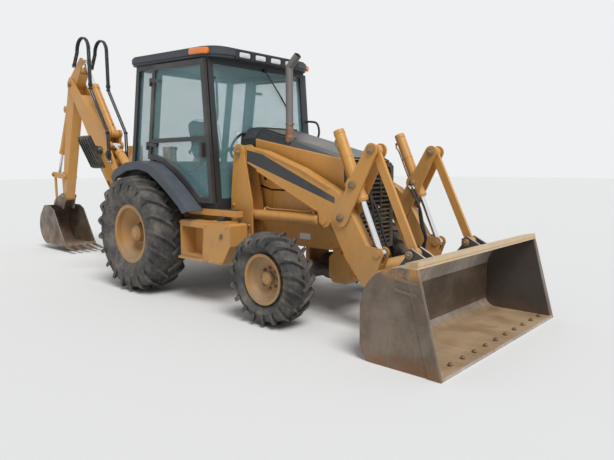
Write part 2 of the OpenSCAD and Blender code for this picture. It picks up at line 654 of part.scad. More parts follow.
// Counter-clockwise from the lower front corner
door_shape = concat([[along(a_low, a_high, floor_z + 25) - 12, floor_z + 25],
    [along(a_low, a_high, roof_z - 20) - 12, roof_z - 20],
    [b_high[0] - 40, roof_line(b_high[0]) - 22], [along(b_low, b_high, 1492) - 36, 1492]],
    door_low, [[960, floor_z + 25]]);
module door_outline(d) polygon(d == 0 ? door_shape : inset(door_shape, d));
hinge_r = 13;
hinge_pin_r = 7;
hinge_h = 44;
hinge_out = cab_half + door_gap + door_t + 6;
hinge_back = 52;
hinge_lean = atan2(b_high[0] - b_low[0], b_high[1] - b_low[1]);
module at_hinge(z) translate([along(b_low, b_high, z) - hinge_back, hinge_out, z]) rotate([0, hinge_lean, 0]) children();
hinge_zs = [1640, 2330];
module hinge_on_cab() for (z = hinge_zs) at_hinge(z) {
    translate([0, 0, -hinge_h - 0.15]) cylinder(r = hinge_r, h = hinge_h, $fn = 24);
    translate([0, 0, -10]) cylinder(r = hinge_pin_r, h = hinge_h + 6, $fn = 24);
    translate([-7, cab_half - hinge_out - 10, -hinge_h]) cube([14, hinge_out - cab_half + 10, hinge_h - 1]);
}
module hinge_on_door() for (z = hinge_zs) at_hinge(z) difference() {
    union() {
        translate([0, 0, 0.15]) cylinder(r = hinge_r, h = hinge_h, $fn = 24);
        translate([0, -door_t - 4, 1]) cube([hinge_back - 14, door_t + 4, hinge_h - 2]);
        // strap over the pane
        translate([0, -5, 4]) cube([185, 12, hinge_h - 8]);
    }
    translate([0, 0, -1]) cylinder(r = hinge_pin_r + pin_gap, h = hinge_h + 4, $fn = 24);
}
module door(side) scale([1, side, 1]) color(dark) {
    difference() {
        slab(cab_half + door_gap, cab_half + door_gap + door_t) door_outline(0);
        slab(cab_half, cab_half + door_gap + door_t + 5) door_outline(55);
    }
    // middle rail outside the pane, and the latch with its grip
    let (y = cab_half + door_gap + 17 + glass_t) {
        slab(y + 0.3, y + 17) polygon([[along(b_low, b_high, 1665) + 10, 1665], [along(a_low, a_high, 1665) - 60, 1665],
            [along(a_low, a_high, 1712) - 60, 1712], [along(b_low, b_high, 1712) + 10, 1712]]);
        slab(y + 10, y + 42) polygon([[1035, 1500], [1070, 1500], [1070, 1640], [1035, 1640]]);
        slab(y + 0.3, y + 12) polygon([[1025, 1490], [1130, 1490], [1130, 1650], [1025, 1650]]);
    }
    hinge_on_door();
}
module door_left() door(1);
module door_right() door(-1);
module door_pane(side) scale([1, side, 1]) color(glass)
    slab(cab_half + door_gap + 17, cab_half + door_gap + 17 + glass_t) door_outline(55);
module door_left_glass() door_pane(1);
module door_right_glass() door_pane(-1);

// ---------- wheels, turned on the Y axis
module turn_y() rotate([-90, 0, 0]) rotate_extrude($fn = 96) children();
// Leaning tread bars of one tyre: count to a side, the sides half a pitch apart
module lugs(r, w, count, lean, deep, wide) for (side = [0, 1], i = [0:count - 1])
    rotate([0, (i + side / 2) * 360 / count, 0]) scale([1, side == 0 ? 1 : -1, 1])
        translate([0, w / 4 - 2, r - deep]) rotate([0, 0, lean])
            translate([-wide / 2, -w / 4, -12]) cube([wide, w / 2 + 4, deep + 30]);
module treads(r, w, count, lean, deep, wide) intersection() {
    lugs(r, w, count, lean, deep, wide);
    turn_y() polygon([[r - deep - 20, -w / 2 + 16], [r - 55, -w / 2 + 2], [r - 12, -w / 2 + 20], [r, -w / 2 + 60],
        [r, w / 2 - 60], [r - 12, w / 2 - 20], [r - 55, w / 2 - 2], [r - deep - 20, w / 2 - 16]]);
}
module rear_tyre() color(rubber) {
    rear_casing();
    treads(rear_tyre_r, rear_tyre_w, 20, 42, 40, 46);
}
module rear_casing() turn_y() {
    h = rear_tyre_w / 2;
    r = rear_tyre_r - 40;
    polygon([[331, -h + 76.6], [346, -h + 56], [400, -h + 10], [500, -h], [570, -h + 15], [600, -h + 34], [r, -h + 75],
        [r, h - 75], [600, h - 34], [570, h - 15], [500, h], [400, h - 10], [346, h - 56], [331, h - 76.6],
        [305, h - 82.4], [305, -h + 82.4]]);
}
module rear_rim() color(paint) {
    h = rear_tyre_w / 2;
    difference() {
        turn_y() polygon([[290, -h + 68], [330, -h + 64], [330, -h + 76], [304.7, -h + 82], [304.7, h - 82],
            [330, h - 76], [330, h - 64], [290, h - 68], [285, h - 120], [250, 60], [190, -20], [170, -38],
            [86, -38], [86, -62], [180, -62], [215, -40], [285, -h + 120]]);
        for (a = [0:45:315]) rotate([0, a, 0]) translate([130, 0, 0]) rotate([90, 0, 0]) cylinder(r = 11, h = 200, center = true);
    }
    translate([0, -40, 0]) rotate([-90, 0, 0]) cylinder(r = 88, h = 120);
    translate([0, 80, 0]) rotate([-90, 0, 0]) cylinder(r1 = 88, r2 = 70, h = 18);
}
module at_rear(side) scale([1, side, 1]) translate([0, rear_track_half, rear_z]) children();
module rear_tyre_left() at_rear(1) rear_tyre();
module rear_rim_left() at_rear(1) rear_rim();
module rear_tyre_right() at_rear(-1) rear_tyre();
module rear_rim_right() at_rear(-1) rear_rim();
module front_tyre() color(rubber) {
    front_casing();
    treads(front_tyre_r, front_tyre_w, 18, 40, 28, 34);
}
module front_casing() turn_y() {
    h = front_tyre_w / 2;
    r = front_tyre_r - 28;
    polygon([[215, -h + 52.4], [229, -h + 50], [240, -h + 32], [275, -h + 6], [330, -h], [372, -h + 10], [384, -h + 24],
        [r, -h + 50], [r, h - 50], [384, h - 24], [372, h - 10], [330, h], [275, h - 6], [240, h - 32],
        [229, h - 50], [215, h - 52.4]]);
}
module front_rim() color(paint) {
    h = front_tyre_w / 2;
    difference() {
        turn_y() polygon([[200, -h + 44], [228, -h + 40], [228, -h + 49.5], [214.7, -h + 52], [214.7, h - 52],
            [228, h - 49.5], [228, h - 40], [200, h - 44], [195, h - 80], [170, 30], [120, 8], [58, 8],
            [58, -8], [125, -8], [195, -10]]);
        for (a = [0:45:315]) rotate([0, a, 0]) translate([92, 0, 0]) rotate([90, 0, 0]) cylinder(r = 9, h = 100, center = true);
    }
    translate([0, -14, 0]) rotate([-90, 0, 0]) cylinder(r = 60, h = 70);
}
module at_front(side) scale([1, side, 1]) translate([wheelbase, front_track_half, front_z]) children();
module front_tyre_left() at_front(1) front_tyre();
module front_rim_left() at_front(1) front_rim();
module front_tyre_right() at_front(-1) front_tyre();
module front_rim_right() at_front(-1) front_rim();

// ---------- loader
fork_half = 36;
module arm_profile() difference() {
    union() {
        disc(arm_pivot, 66);
        polygon([[1375, 1616], [1700, 1553], [2190, 1386], [2610, 1194], [2697, 1116], [2780, 1000], [3000, 650],
            [3050, 560], [3160, 385],
            [3185, 330], [3070, 290], [2890, 420], [2720, 620], [2550, 925], [2420, 1010], [1375, 1484]]);
        disc(bucket_pivot, 66);
    }
    disc(arm_pivot, pin_r + pin_gap);
    disc(bucket_pivot, pin_r);
    disc(lever_pivot, pin_r);
}
arm_lip = 8;
module loader_arms() color(paint) {
    both() {
        // flanges along the upper and lower edges
        slab(arm_y - arm_w / 2 - arm_lip, arm_y + arm_w / 2 + arm_lip) {
            polygon([[1600, 1572.4], [1600, 1560], [1697, 1541], [2186, 1374], [2540, 1212], [2545, 1223.7], [2190, 1386], [1700, 1553]]);
            polygon([[1620, 1373], [1615, 1362], [2395, 1008], [2400, 1019]]);
        }
        difference() {
            union() {
                slab(arm_y - arm_w / 2, arm_y + arm_w / 2) arm_profile();
                // lugs of the lift cylinder's eye
                slab(arm_y - arm_w / 2, arm_y + arm_w / 2) difference() {
                    polygon([[2360, 1060], [2570, 960], [2530, 885], [2480, 868], [2425, 900], [2412, 990]]);
                }
                slab(arm_y - arm_w / 2, arm_y + arm_w / 2) {
                    disc(tilt_eye, 52);
                    polygon([[2925, 752], tilt_eye + [-20, 48], tilt_eye + [5, 51], tilt_eye + [50, -10], [3050, 540], [2930, 600]]);
                }
            }
            // pocket for the lift eye and the tilt eye
            slab(arm_y - fork_half, arm_y + fork_half) {
                disc(lift_eye, 135);
                disc(tilt_eye + [10, 20], 110);
            }
        }
        for (p = [lift_eye, tilt_eye], s = [-1, 1]) let (y = arm_y + s * (arm_w / 2 + 6))
            pin(p, pin_r + 7, y - 6.2, y + 6.2);
        pin(bucket_pivot, pin_r, arm_y - arm_w / 2 - 40, arm_y + arm_w / 2 + 40);
        pin(lever_pivot, pin_r, arm_y - arm_w / 2 - 34, arm_y + arm_w / 2 + 34);
    }
    // torque tube between the arms
    pin([2960, 545], 62, -arm_y + arm_w / 2, arm_y - arm_w / 2);
}
lever_in = arm_w / 2 + side_gap;
lever_t = 16;
module lever_profile() difference() {
    union() {
        link(lever_pivot, lever_top, 78, 58);
        disc(trunnion, 72);
    }
    disc(lever_pivot, pin_r + pin_gap);
    disc(trunnion, pin_r + pin_gap);
    disc(lever_top, pin_r);
}
module tilt_levers() color(paint) both() {
    for (s = [-1, 1]) let (y = arm_y + s * (lever_in + lever_t / 2))
        slab(y - lever_t / 2, y + lever_t / 2) lever_profile();
    pin(lever_top, pin_r, arm_y - lever_in - lever_t - 10, arm_y + lever_in + lever_t + 10);
}
link_half = 30;
module bucket_links() color(paint) both() difference() {
    union() {
        slab(arm_y - 16, arm_y + 16) bar_link(lever_top, bucket_ear, 46, 34);
        pin(lever_top, 48, arm_y - link_half, arm_y + link_half);
        pin(bucket_ear, 46, arm_y - link_half, arm_y + link_half);
    }
    pin(lever_top, pin_r + pin_gap, arm_y - link_half - 1, arm_y + link_half + 1);
}
bucket_shape = concat([[3939, 0], [3738, 748]], arc([3600, 385], 332, 94, 184, 8), arc([3392, 122], 122, 180, 270, 5));
module loader_bucket() color(steel) difference() {
    union() {
        difference() {
            slab(-bucket_half, bucket_half) polygon(bucket_shape);
            slab(-bucket_half + bucket_t, bucket_half - bucket_t) {
                polygon(inset(bucket_shape, bucket_t));
                translate([60, 0]) polygon(inset(bucket_shape, bucket_t));
            }
        }
        // cutting edge and lip
        box(3690, 3938, -bucket_half + bucket_t, bucket_half - bucket_t, 0, 24);
        // bar along the upper lip, and strips on the side plates
        slab(-bucket_half, bucket_half) polygon([[3746, 744], [3741, 774], [3648, 758], [3653, 728]]);
        both() slab(bucket_half - 1, bucket_half + 8)
            polygon([[3939, 0], [3741, 740], [3650, 724], [3842, 6]]);
        both() for (z = [560, 640]) slab(bucket_half - 1, bucket_half + 12) translate([3570, z]) rotate(-8) square([170, 16]);
        // ears behind the bucket
        both() for (s = [-1, 1]) let (y = arm_y + s * (arm_w / 2 + 2 + 11))
            slab(y - 11, y + 11) difference() {
                polygon([bucket_pivot + [-45, 45], bucket_pivot + [-62, 0], bucket_pivot + [-25, -62],
                    [3290, 200], [3320, 440], [3486, 675], [3520, 700], bucket_ear + [10, 50], bucket_ear + [-45, 30],
                    bucket_ear + [-45, -30]]);
                disc(bucket_pivot, pin_r + pin_gap);
            }
        both() for (s = [-1, 1]) let (y = arm_y + s * 62) pin(bucket_ear, pin_r, y - 24, y + 24);
    }
    slab(-bucket_half + bucket_t, bucket_half - bucket_t) polygon(inset(bucket_shape, bucket_t + 0.01));
}
lift_len = norm(lift_eye - lift_base);
lift_u = (lift_eye - lift_base) / lift_len;
module lift_barrels() color(paint) both() difference() {
    union() {
        rod(lift_base + 30 * lift_u, lift_base + (lift_len - 90) * lift_u, lift_barrel_r, arm_y);
        rod(lift_base + (lift_len - 150) * lift_u, lift_base + (lift_len - 80) * lift_u, lift_barrel_r + 2, arm_y);
        pin(lift_base, 52, arm_y - arm_w / 2, arm_y + arm_w / 2);
    }
    pin(lift_base, pin_r + pin_gap, arm_y - arm_w, arm_y + arm_w);
    rod(lift_base + 110 * lift_u, lift_eye, lift_rod_r + 0.3, arm_y);
}
module lift_rods() color(chrome) both() {
    rod(lift_base + 130 * lift_u, lift_eye - 30 * lift_u, lift_rod_r, arm_y);
    pin(lift_eye, 42, arm_y - fork_half + 6, arm_y + fork_half - 6);
}
tilt_u = unit(tilt_eye - trunnion);
module tilt_barrels() color(paint) both() difference() {
    union() {
        rod(trunnion - tilt_top * tilt_u, trunnion + tilt_gland * tilt_u, tilt_barrel_r, arm_y);
        pin(trunnion, 46, arm_y - lever_in + 2, arm_y + lever_in - 2);
        pin(trunnion, pin_r, arm_y - lever_in - lever_t - 10, arm_y + lever_in + lever_t + 10);
    }
    rod(trunnion - (tilt_top - 20) * tilt_u, tilt_eye, tilt_rod_r + 0.3, arm_y);
}
module tilt_rods() color(chrome) both() {
    rod(trunnion - 60 * tilt_u, tilt_eye - 30 * tilt_u, tilt_rod_r, arm_y);
    pin(tilt_eye, 40, arm_y - fork_half + 6, arm_y + fork_half - 6);
}

// ---------- backhoe
swing_top = [960, 1010];
swing_low = [560, 610];
module hoe_frame() color(paint) {
    difference() {
        box(-1160, -960, -360, 360, 470, 1080);
        box(-1130, -900, -330, 330, 500, 1050);
        both() box(stab_x - stab_t / 2 - side_gap, stab_x + stab_t / 2 + side_gap, 250, 400, 520, 880);
    }
    // tie-down lugs
    both() slab(tie_y - tie_t / 2, tie_y + tie_t / 2) difference() {
        union() {
            disc([tie_rear_x, tie_rear_z], 42);
            polygon([[tie_rear_x - 60, 475], [tie_rear_x + 60, 475], [tie_rear_x + 42, tie_rear_z],
                [tie_rear_x - 42, tie_rear_z]]);
        }
        disc([tie_rear_x, tie_rear_z], tie_r);
    }
    // clevis plates of the swing pin
    for (z = [swing_top, swing_low]) difference() {
        union() {
            translate([swing_x, 0, z[0]]) cylinder(r = 110, h = z[1] - z[0]);
            translate([0, 0, z[0]]) linear_extrude(z[1] - z[0])
                polygon([[-1160 - seat_gap, -230], [-1160 - seat_gap, 230], [-1240, 120], [swing_x, 104],
                    [swing_x, -104], [-1240, -120]]);
        }
        translate([swing_x, 0, z[0] - 1]) cylinder(r = swing_pin_r, h = 60);
    }
    for (z = [swing_top, swing_low]) translate([swing_x, 0, z[0] - 8]) cylinder(r = swing_pin_r, h = 66);
    // stabilizer hangers and posts
    both() {
        for (x = [stab_x - stab_t / 2 - 26, stab_x + stab_t / 2 + 6]) {
            box(x, x + 20, 300, 420, 560, 760);
            box(x, x + 20, 200, 330, 1080 + seat_gap, 1680);
        }
        translate([stab_x - 80, stab_pivot[0], stab_pivot[1]]) rotate([0, 90, 0]) cylinder(r = hoe_pin_r, h = 160);
        translate([stab_x - 80, stab_base[0], stab_base[1]]) rotate([0, 90, 0]) cylinder(r = hoe_pin_r, h = 160);
    }
}
module swing_tower() color(paint) difference() {
    union() {
        translate([swing_x, 0, swing_low[1] + 2]) cylinder(r = 100, h = swing_top[0] - swing_low[1] - 4);
        for (s = [-1, 1]) let (y = s * (boom_half + boom_plate + side_gap + 14))
            slab(y - 14, y + 14) polygon([[swing_x + 30, 640], [swing_x - 30, 940], [swing_x - 108, 952], [-1492, 1030],
                [-1436, 1170], [-1440, 1200], [-1500, 1232], [-1540, 1180],
                [-1560, 1000], [-1640, 880], [-1680, 800], [-1640, 740], [-1500, 640]]);
        box(swing_x - 90, swing_x - 60, -(boom_half + boom_plate + side_gap), boom_half + boom_plate + side_gap, 640, 920);
        pin(hoe_boom_foot, hoe_pin_r + 6, -boom_half - boom_plate - side_gap - 40, boom_half + boom_plate + side_gap + 40);
        pin(boom_base, hoe_pin_r, -boom_half - boom_plate - side_gap - 34, boom_half + boom_plate + side_gap + 34);
    }
    translate([swing_x, 0, 500]) cylinder(r = swing_pin_r + pin_gap, h = 700);
}
module boom_profile() difference() {
    union() {
        disc(hoe_boom_foot, 90);
        polygon([on_boom(-10, 90), on_boom(500, 120), on_boom(900, 200), on_boom(1250, 225), on_boom(1900, 140),
            on_boom(boom_len, 95), on_boom(boom_len, -90), on_boom(1900, -105), on_boom(1150, -150),
            on_boom(500, -130), on_boom(-10, -90)]);
        disc(dipper_joint, 95);
        disc(crowd_base, 60);
        polygon([crowd_base + 60 * boom_n, on_boom(1000, 200), on_boom(1420, 190), crowd_base + 40 * boom_u]);
        disc(boom_eye, 60);
    }
    disc(hoe_boom_foot, hoe_pin_r + 6 + pin_gap);
    disc(crowd_base, hoe_pin_r);
}
module boom() color(paint) {
    difference() {
        slab(-boom_half - boom_plate, boom_half + boom_plate) boom_profile();
        // slot between the side plates for both cylinders
        slab(-boom_half + 12, boom_half - 12) {
            disc(boom_eye, 160);
            disc(crowd_base, 115);
            polygon([on_boom(150, 420), on_boom(150, 62), on_boom(1060, 62), on_boom(1240, 190), on_boom(1700, 215),
                on_boom(1500, 500)]);
        }
        // fork round the dipper
        slab(-dipper_half - side_gap, dipper_half + side_gap) {
            disc(dipper_joint, 365);
        }
    }
    pin(crowd_base, hoe_pin_r, -boom_half - boom_plate - 10, boom_half + boom_plate + 10);
    for (s = [-1, 1]) pin(dipper_joint, hoe_pin_r + 6, s > 0 ? dipper_half - 30 : -boom_half - boom_plate - 12,
        s > 0 ? boom_half + boom_plate + 12 : -dipper_half + 30);
}
hose_r = 13;
hose_foot = on_boom(760, 120);
hose_low = on_boom(1110, 404);
hose_knee = hose_low + 815 * unit(crowd_eye - crowd_base);
hose_bend = 185;
hose_top = [hose_knee[0] - 4 - hose_bend, 3155];
hose_end = [-2985, 2960];
hose_ys = [boom_half + boom_plate + 8 + hose_r, boom_half + boom_plate + 38 + hose_r];
module joint_ball(p, y) translate([p[0], y, p[1]]) sphere(r = hose_r + 5, $fn = 24);
// Two hoses a side: a steel tube beside the cylinder, then a loop over the dipper's end
module boom_hoses() color("#1d1e20") both() {
    for (y = hose_ys) {
        rod(hose_foot, hose_low, hose_r - 2, y);
        joint_ball(hose_low, y);
        rod(hose_low, hose_knee, hose_r - 2, y);
        joint_ball(hose_knee, y);
        rod(hose_knee, hose_top + [hose_bend, 3], hose_r, y);
        translate([hose_top[0], y, hose_top[1]]) rotate([90, 0, 0]) rotate_extrude(angle = 180, $fn = 32)
            translate([hose_bend, 0]) circle(r = hose_r + 0.5, $fn = 16);
        rod(hose_top + [-hose_bend, 3], hose_end, hose_r, y);
        joint_ball(hose_end, y);
    }
    // clamp on the boom's plate, and a strap between the two
    slab(boom_half + boom_plate + seat_gap, hose_ys[1] + hose_r) translate(on_boom(885, 165))
        rotate(atan2(boom_u[1], boom_u[0])) square([60, 96], center = true);
    slab(hose_ys[0] - hose_r, hose_ys[1] + hose_r) translate(hose_knee - [0, -60]) square([34, 40], center = true);
}
module dipper_profile() difference() {
    union() {
        link(crowd_eye, dipper_joint, 60, 125);
        polygon([on_dipper(-60, -120), on_dipper(250, -112), on_dipper(dipper_len, -62), on_dipper(dipper_len, 62),
            on_dipper(500, 140), on_dipper(-100, 120)]);
        disc(dipper_tip, 62);
        disc(curl_base, 55);
    }
    disc(dipper_joint, hoe_pin_r + 6 + pin_gap);
    disc(guide_pin, hoe_pin_r);
    disc(dipper_tip, hoe_pin_r);
}
module dipper() color(paint) {
    difference() {
        slab(-dipper_half, dipper_half) dipper_profile();
        slab(-dipper_half + 20, dipper_half - 20) {
            disc(crowd_eye, 190);
            disc(curl_base, 90);
        }
        pin(dipper_joint, hoe_pin_r + 6 + pin_gap, -200, 200);
    }
    pin(curl_base, hoe_pin_r, -dipper_half - 10, dipper_half + 10);
    pin(guide_pin, hoe_pin_r, -dipper_half - 36, dipper_half + 36);
    pin(dipper_tip, hoe_pin_r, -dipper_half - 36, dipper_half + 36);
}
link_in = dipper_half + side_gap;
module guide_links() color(paint) {
    for (s = [-1, 1]) let (y = s * (link_in + 9)) slab(y - 9, y + 9) difference() {
        link(guide_pin, guide_top, 46, 46);
        disc(guide_pin, hoe_pin_r + pin_gap);
    }
    for (s = [-1, 1]) let (y = s * (link_in - 13)) pin(guide_top, hoe_pin_r, y - 15, y + 15);
    both() pin(guide_top, hoe_pin_r + 8, link_in + 18, link_in + 28);
}
module push_link() color(paint) difference() {
    union() {
        both() slab(link_in - 24, link_in - 4) bar_link(guide_top, curl_pin, 42, 30);
        pin(curl_pin, 40, -link_in + 24, link_in - 24);
    }
    pin(guide_top, hoe_pin_r + pin_gap, -300, 300);
}
hoe_mouth = [-3765, 690];
hoe_lip = [-3370, 100];
hoe_shape = concat([hoe_lip, hoe_mouth, [-3900, 745], [-4125, 750]],
    arc([-4040, 395], 310, 130, 260, 13), [[-4090, 92]]);
module hoe_bucket() color(steel) {
    difference() {
        slab(-hoe_bucket_half, hoe_bucket_half) polygon(hoe_shape);
        slab(-hoe_bucket_half + hoe_bucket_t, hoe_bucket_half - hoe_bucket_t) {
            polygon(inset(hoe_shape, hoe_bucket_t));
            translate([40, 30]) polygon(inset(hoe_shape, hoe_bucket_t));
        }
    }
    // teeth
    for (i = [-2:2]) translate([0, i * (hoe_bucket_half - 28) / 2, 0])
        slab(-22, 22) polygon([hoe_lip + [-60, 24], hoe_lip + [40, 0], hoe_lip + [290, -42], hoe_lip + [285, -54], hoe_lip + [-40, -22]]);
    // ears
    for (s = [-1, 1]) let (y = s * (dipper_half + 2 + 10)) slab(y - 10, y + 10) difference() {
        polygon([dipper_tip + [50, 20], dipper_tip + [0, 60], dipper_tip + [-60, 50], curl_pin + [0, 50], curl_pin + [-50, 0], [-4125, 749], [-3900, 744],
            [-3765, 689], dipper_tip + [52, -20]]);
        disc(dipper_tip, hoe_pin_r + pin_gap);
        disc(curl_pin, hoe_pin_r);
    }
}
module cylinder_barrel(a, b, len, r, gland, half) {
    u = unit(b - a);
    rod(a + 20 * u, a + (len - gland) * u, r);
    rod(a + (len - gland - 60) * u, a + len * u, r + 6);
    pin(a, r, -half, half);
}
module barrel_with_bore(a, b, len, r, half, rod_r) difference() {
    cylinder_barrel(a, b, len, r, 0, half);
    pin(a, hoe_pin_r + pin_gap, -half - 1, half + 1);
    rod(a + 58 * unit(b - a), b, rod_r + 0.3);
}
boom_cyl_len = norm(boom_eye - boom_base);
module boom_barrel() color(paint) barrel_with_bore(boom_base, boom_eye, boom_cyl_len - 150, 60, boom_half + boom_plate, 30);
module boom_rod() color(chrome) {
    rod(boom_base + 136 * unit(boom_eye - boom_base), boom_eye - 30 * unit(boom_eye - boom_base), 30);
    pin(boom_eye, 48, -60, 60);
}
crowd_len = norm(crowd_eye - crowd_base);
module crowd_barrel() color(paint) barrel_with_bore(crowd_base, crowd_eye, crowd_len - 480, 56, 62, 28);
module crowd_rod() color(chrome) {
    rod(crowd_base + 495 * unit(crowd_eye - crowd_base), crowd_eye - 30 * unit(crowd_eye - crowd_base), 28);
    pin(crowd_eye, 46, -50, 50);
}
module curl_barrel() color(paint) barrel_with_bore(curl_base, guide_top, norm(guide_top - curl_base) - 400, 50, 50, 26);
module curl_rod() color(chrome) {
    rod(curl_base + 400 * unit(guide_top - curl_base), guide_top - 30 * unit(guide_top - curl_base), 26);
    pin(guide_top, 44, -48, 48);
}

// ---------- stabilizers, profiles in the YZ plane
pad_pin_r = 20;
module x_pin(p, r, x0, x1) translate([x0, p[0], p[1]]) rotate([0, 90, 0]) cylinder(r = r, h = x1 - x0);
// Round bar in the stabilizer's plane from point a to point b
module yz_rod(a, b, r) let (d = b - a)
    translate([stab_x, a[0], a[1]]) rotate([-atan2(d[0], d[1]), 0, 0]) cylinder(r = r, h = norm(d));
module stab_arm() color(paint) {
    difference() {
        cross(stab_x - stab_t / 2, stab_x + stab_t / 2) difference() {
            union() {
                link(stab_pivot, pad_pivot, 62, 46);
                disc(stab_eye, 66);
            }
            disc(stab_pivot, hoe_pin_r + pin_gap);
            disc(stab_eye, hoe_pin_r);
        }
        // open channel for the cylinder, shut again near the pad
        cross(stab_x - stab_t / 2 + 14, stab_x + stab_t / 2 - 14) {
            disc(stab_eye, 155);
            link(stab_eye, stab_pivot + 760 * stab_u, 155, 30);
        }
    }
    x_pin(pad_pivot, pad_pin_r, stab_x - stab_t / 2 - 34, stab_x + stab_t / 2 + 34);
}
module stabilizer_left() stab_arm();
module stabilizer_right() mirror([0, 1, 0]) stab_arm();
function pad_at(a, b) = pad_pivot + a * stab_u + b * stab_n;
module pad() color("#3c3c3c") {
    h = pad_len / 2;
    cross(stab_x - pad_x / 2, stab_x + pad_x / 2)
        polygon([pad_at(-h, 62), pad_at(-h, 92), pad_at(-h + 20, 104), pad_at(h - 20, 104), pad_at(h, 92), pad_at(h, 62)]);
    // ribs on the sole
    for (k = [-2:2]) cross(stab_x + k * pad_x / 5 - 7, stab_x + k * pad_x / 5 + 7)
        polygon([pad_at(-h + 24, 102), pad_at(-h + 30, 122), pad_at(h - 30, 122), pad_at(h - 24, 102)]);
    for (s = [-1, 1]) let (x = stab_x + s * (stab_t / 2 + side_gap + 10))
        cross(x - 10, x + 10) difference() {
            union() {
                disc(pad_pivot, 44);
                polygon([pad_at(-44, 0), pad_at(-110, 62.5), pad_at(110, 62.5), pad_at(44, 0)]);
            }
            disc(pad_pivot, pad_pin_r + pin_gap);
        }
}
module pad_left() pad();
module pad_right() mirror([0, 1, 0]) pad();
stab_cyl_u = unit(stab_eye - stab_base);
stab_cyl_len = norm(stab_eye - stab_base);
stab_barrel_r = 44;
stab_rod_r = 24;
module stab_barrel() color(paint) difference() {
    union() {
        yz_rod(stab_base, stab_base + (stab_cyl_len - 125) * stab_cyl_u, stab_barrel_r);
        x_pin(stab_base, stab_barrel_r, stab_x - stab_t / 2, stab_x + stab_t / 2);
    }
    x_pin(stab_base, hoe_pin_r + pin_gap, stab_x - stab_t, stab_x + stab_t);
    yz_rod(stab_base + 70 * stab_cyl_u, stab_eye, stab_rod_r + 0.3);
}
module stab_barrel_left() stab_barrel();
module stab_barrel_right() mirror([0, 1, 0]) stab_barrel();
module stab_rod() color(chrome) {
    yz_rod(stab_base + 90 * stab_cyl_u, stab_eye - 30 * stab_cyl_u, stab_rod_r);
    x_pin(stab_eye, 38, stab_x - stab_t / 2 + 20, stab_x + stab_t / 2 - 20);
}
module stab_rod_left() stab_rod();
module stab_rod_right() mirror([0, 1, 0]) stab_rod();

module placed() translate([x_shift, 0, 0]) children();
placed() {
    chassis_frame();
    loader_towers();
    front_axle();
    driveline();
    grille();
    exhaust_stack();
    side_boxes();
    fenders();
    cab_frame();
    cab_roof();
    roof_lamps();
    cab_glass();
    seat_cushions();
    cab_controls();
    hoe_frame();
    hood();
    door_left();
    door_left_glass();
    door_right();
    door_right_glass();
    rear_tyre_left();
    rear_rim_left();
    rear_tyre_right();
    rear_rim_right();
    knuckle_left();
    knuckle_right();
    steering_rod();
    front_tyre_left();
    front_rim_left();
    front_tyre_right();
    front_rim_right();
    loader_arms();
    tilt_levers();
    bucket_links();
    loader_bucket();
    lift_barrels();
    lift_rods();
    tilt_barrels();
    tilt_rods();
    swing_tower();
    boom();
    boom_hoses();
    dipper();
    hoe_bucket();
    guide_links();
    push_link();
    boom_barrel();
    boom_rod();
    crowd_barrel();
    crowd_rod();
    curl_barrel();
    curl_rod();
    stabilizer_left();
    stabilizer_right();
    pad_left();
    pad_right();
    stab_barrel_left();
    stab_barrel_right();
    stab_rod_left();
    stab_rod_right();
}
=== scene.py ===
"""Looks of a backhoe loader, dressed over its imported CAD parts. Metres, +X forward, +Y left, +Z up."""

import json
import math

import bpy
import numpy as np
from mathutils import Matrix


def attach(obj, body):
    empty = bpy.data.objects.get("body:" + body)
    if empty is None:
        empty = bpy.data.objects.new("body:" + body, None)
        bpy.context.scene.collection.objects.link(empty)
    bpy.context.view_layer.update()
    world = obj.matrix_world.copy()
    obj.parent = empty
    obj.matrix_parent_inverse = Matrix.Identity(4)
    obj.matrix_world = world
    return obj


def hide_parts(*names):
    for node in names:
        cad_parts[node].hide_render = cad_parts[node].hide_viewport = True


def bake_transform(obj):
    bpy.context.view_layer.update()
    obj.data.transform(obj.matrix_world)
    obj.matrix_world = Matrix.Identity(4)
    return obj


bl_info = {
    "name": "Backhoe Loader Looks",
    "version": (1, 0, 0),
    "blender": (4, 5, 0),
    "location": "View3D > Sidebar > Loader",
    "description": "Dresses the packed backhoe loader with finishes, tyres, trim and studio",
    "category": "Object",
}

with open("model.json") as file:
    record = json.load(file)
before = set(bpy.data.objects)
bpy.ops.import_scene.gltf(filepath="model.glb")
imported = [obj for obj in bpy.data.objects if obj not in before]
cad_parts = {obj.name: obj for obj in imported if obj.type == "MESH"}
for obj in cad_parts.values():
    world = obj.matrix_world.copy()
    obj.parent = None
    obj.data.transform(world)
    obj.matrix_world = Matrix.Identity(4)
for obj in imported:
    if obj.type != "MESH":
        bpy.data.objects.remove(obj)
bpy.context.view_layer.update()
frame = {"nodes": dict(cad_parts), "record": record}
NODES = frame["nodes"]
SIDES = (("left", 1), ("right", -1))  # the machine's sides, and the sign of Y on each

# Places below are X and Z in metres from the rear axle on the ground, apart from the two axles.
SHIFT = 0.2055  # X of the rear axle in the frame
REAR_AXLE = (SHIFT, 0.655)
FRONT_AXLE = (SHIFT + 2.134, 0.42)
ARM_Y = 0.47  # middle plane of a loader arm, its lever and its cylinders
ARM_HALF = 0.052  # from that plane to the arm's face
LIFT_FOOT, LIFT_EYE = (1.4, 0.93), (2.475, 0.925)
TRUNNION, TILT_EYE = (2.805, 1.243), (3.052, 0.69)
TILT_R = 0.048  # radius of a tilt cylinder's barrel
HOSE_R = 0.0105  # radius of a loader hose
BOOM_FOOT, BOOM_JOINT = (-1.6, 0.8), (-3.24, 2.71)

# The roof's lower face falls towards the front: its slope, and where it meets the front posts.
ROOF_FALL, ROOF_RUN = 0.06, 1.32
ROOF_X, POST_TOP = 1.105, 2.49
ROOF_SEAT = 2.4903  # height of the roof there, 0.3 mm above the posts
ROOF_CORNER, CORNER_X, CORNER_Y = 0.25, 1.002, 0.495  # radius and centre of its round front corners

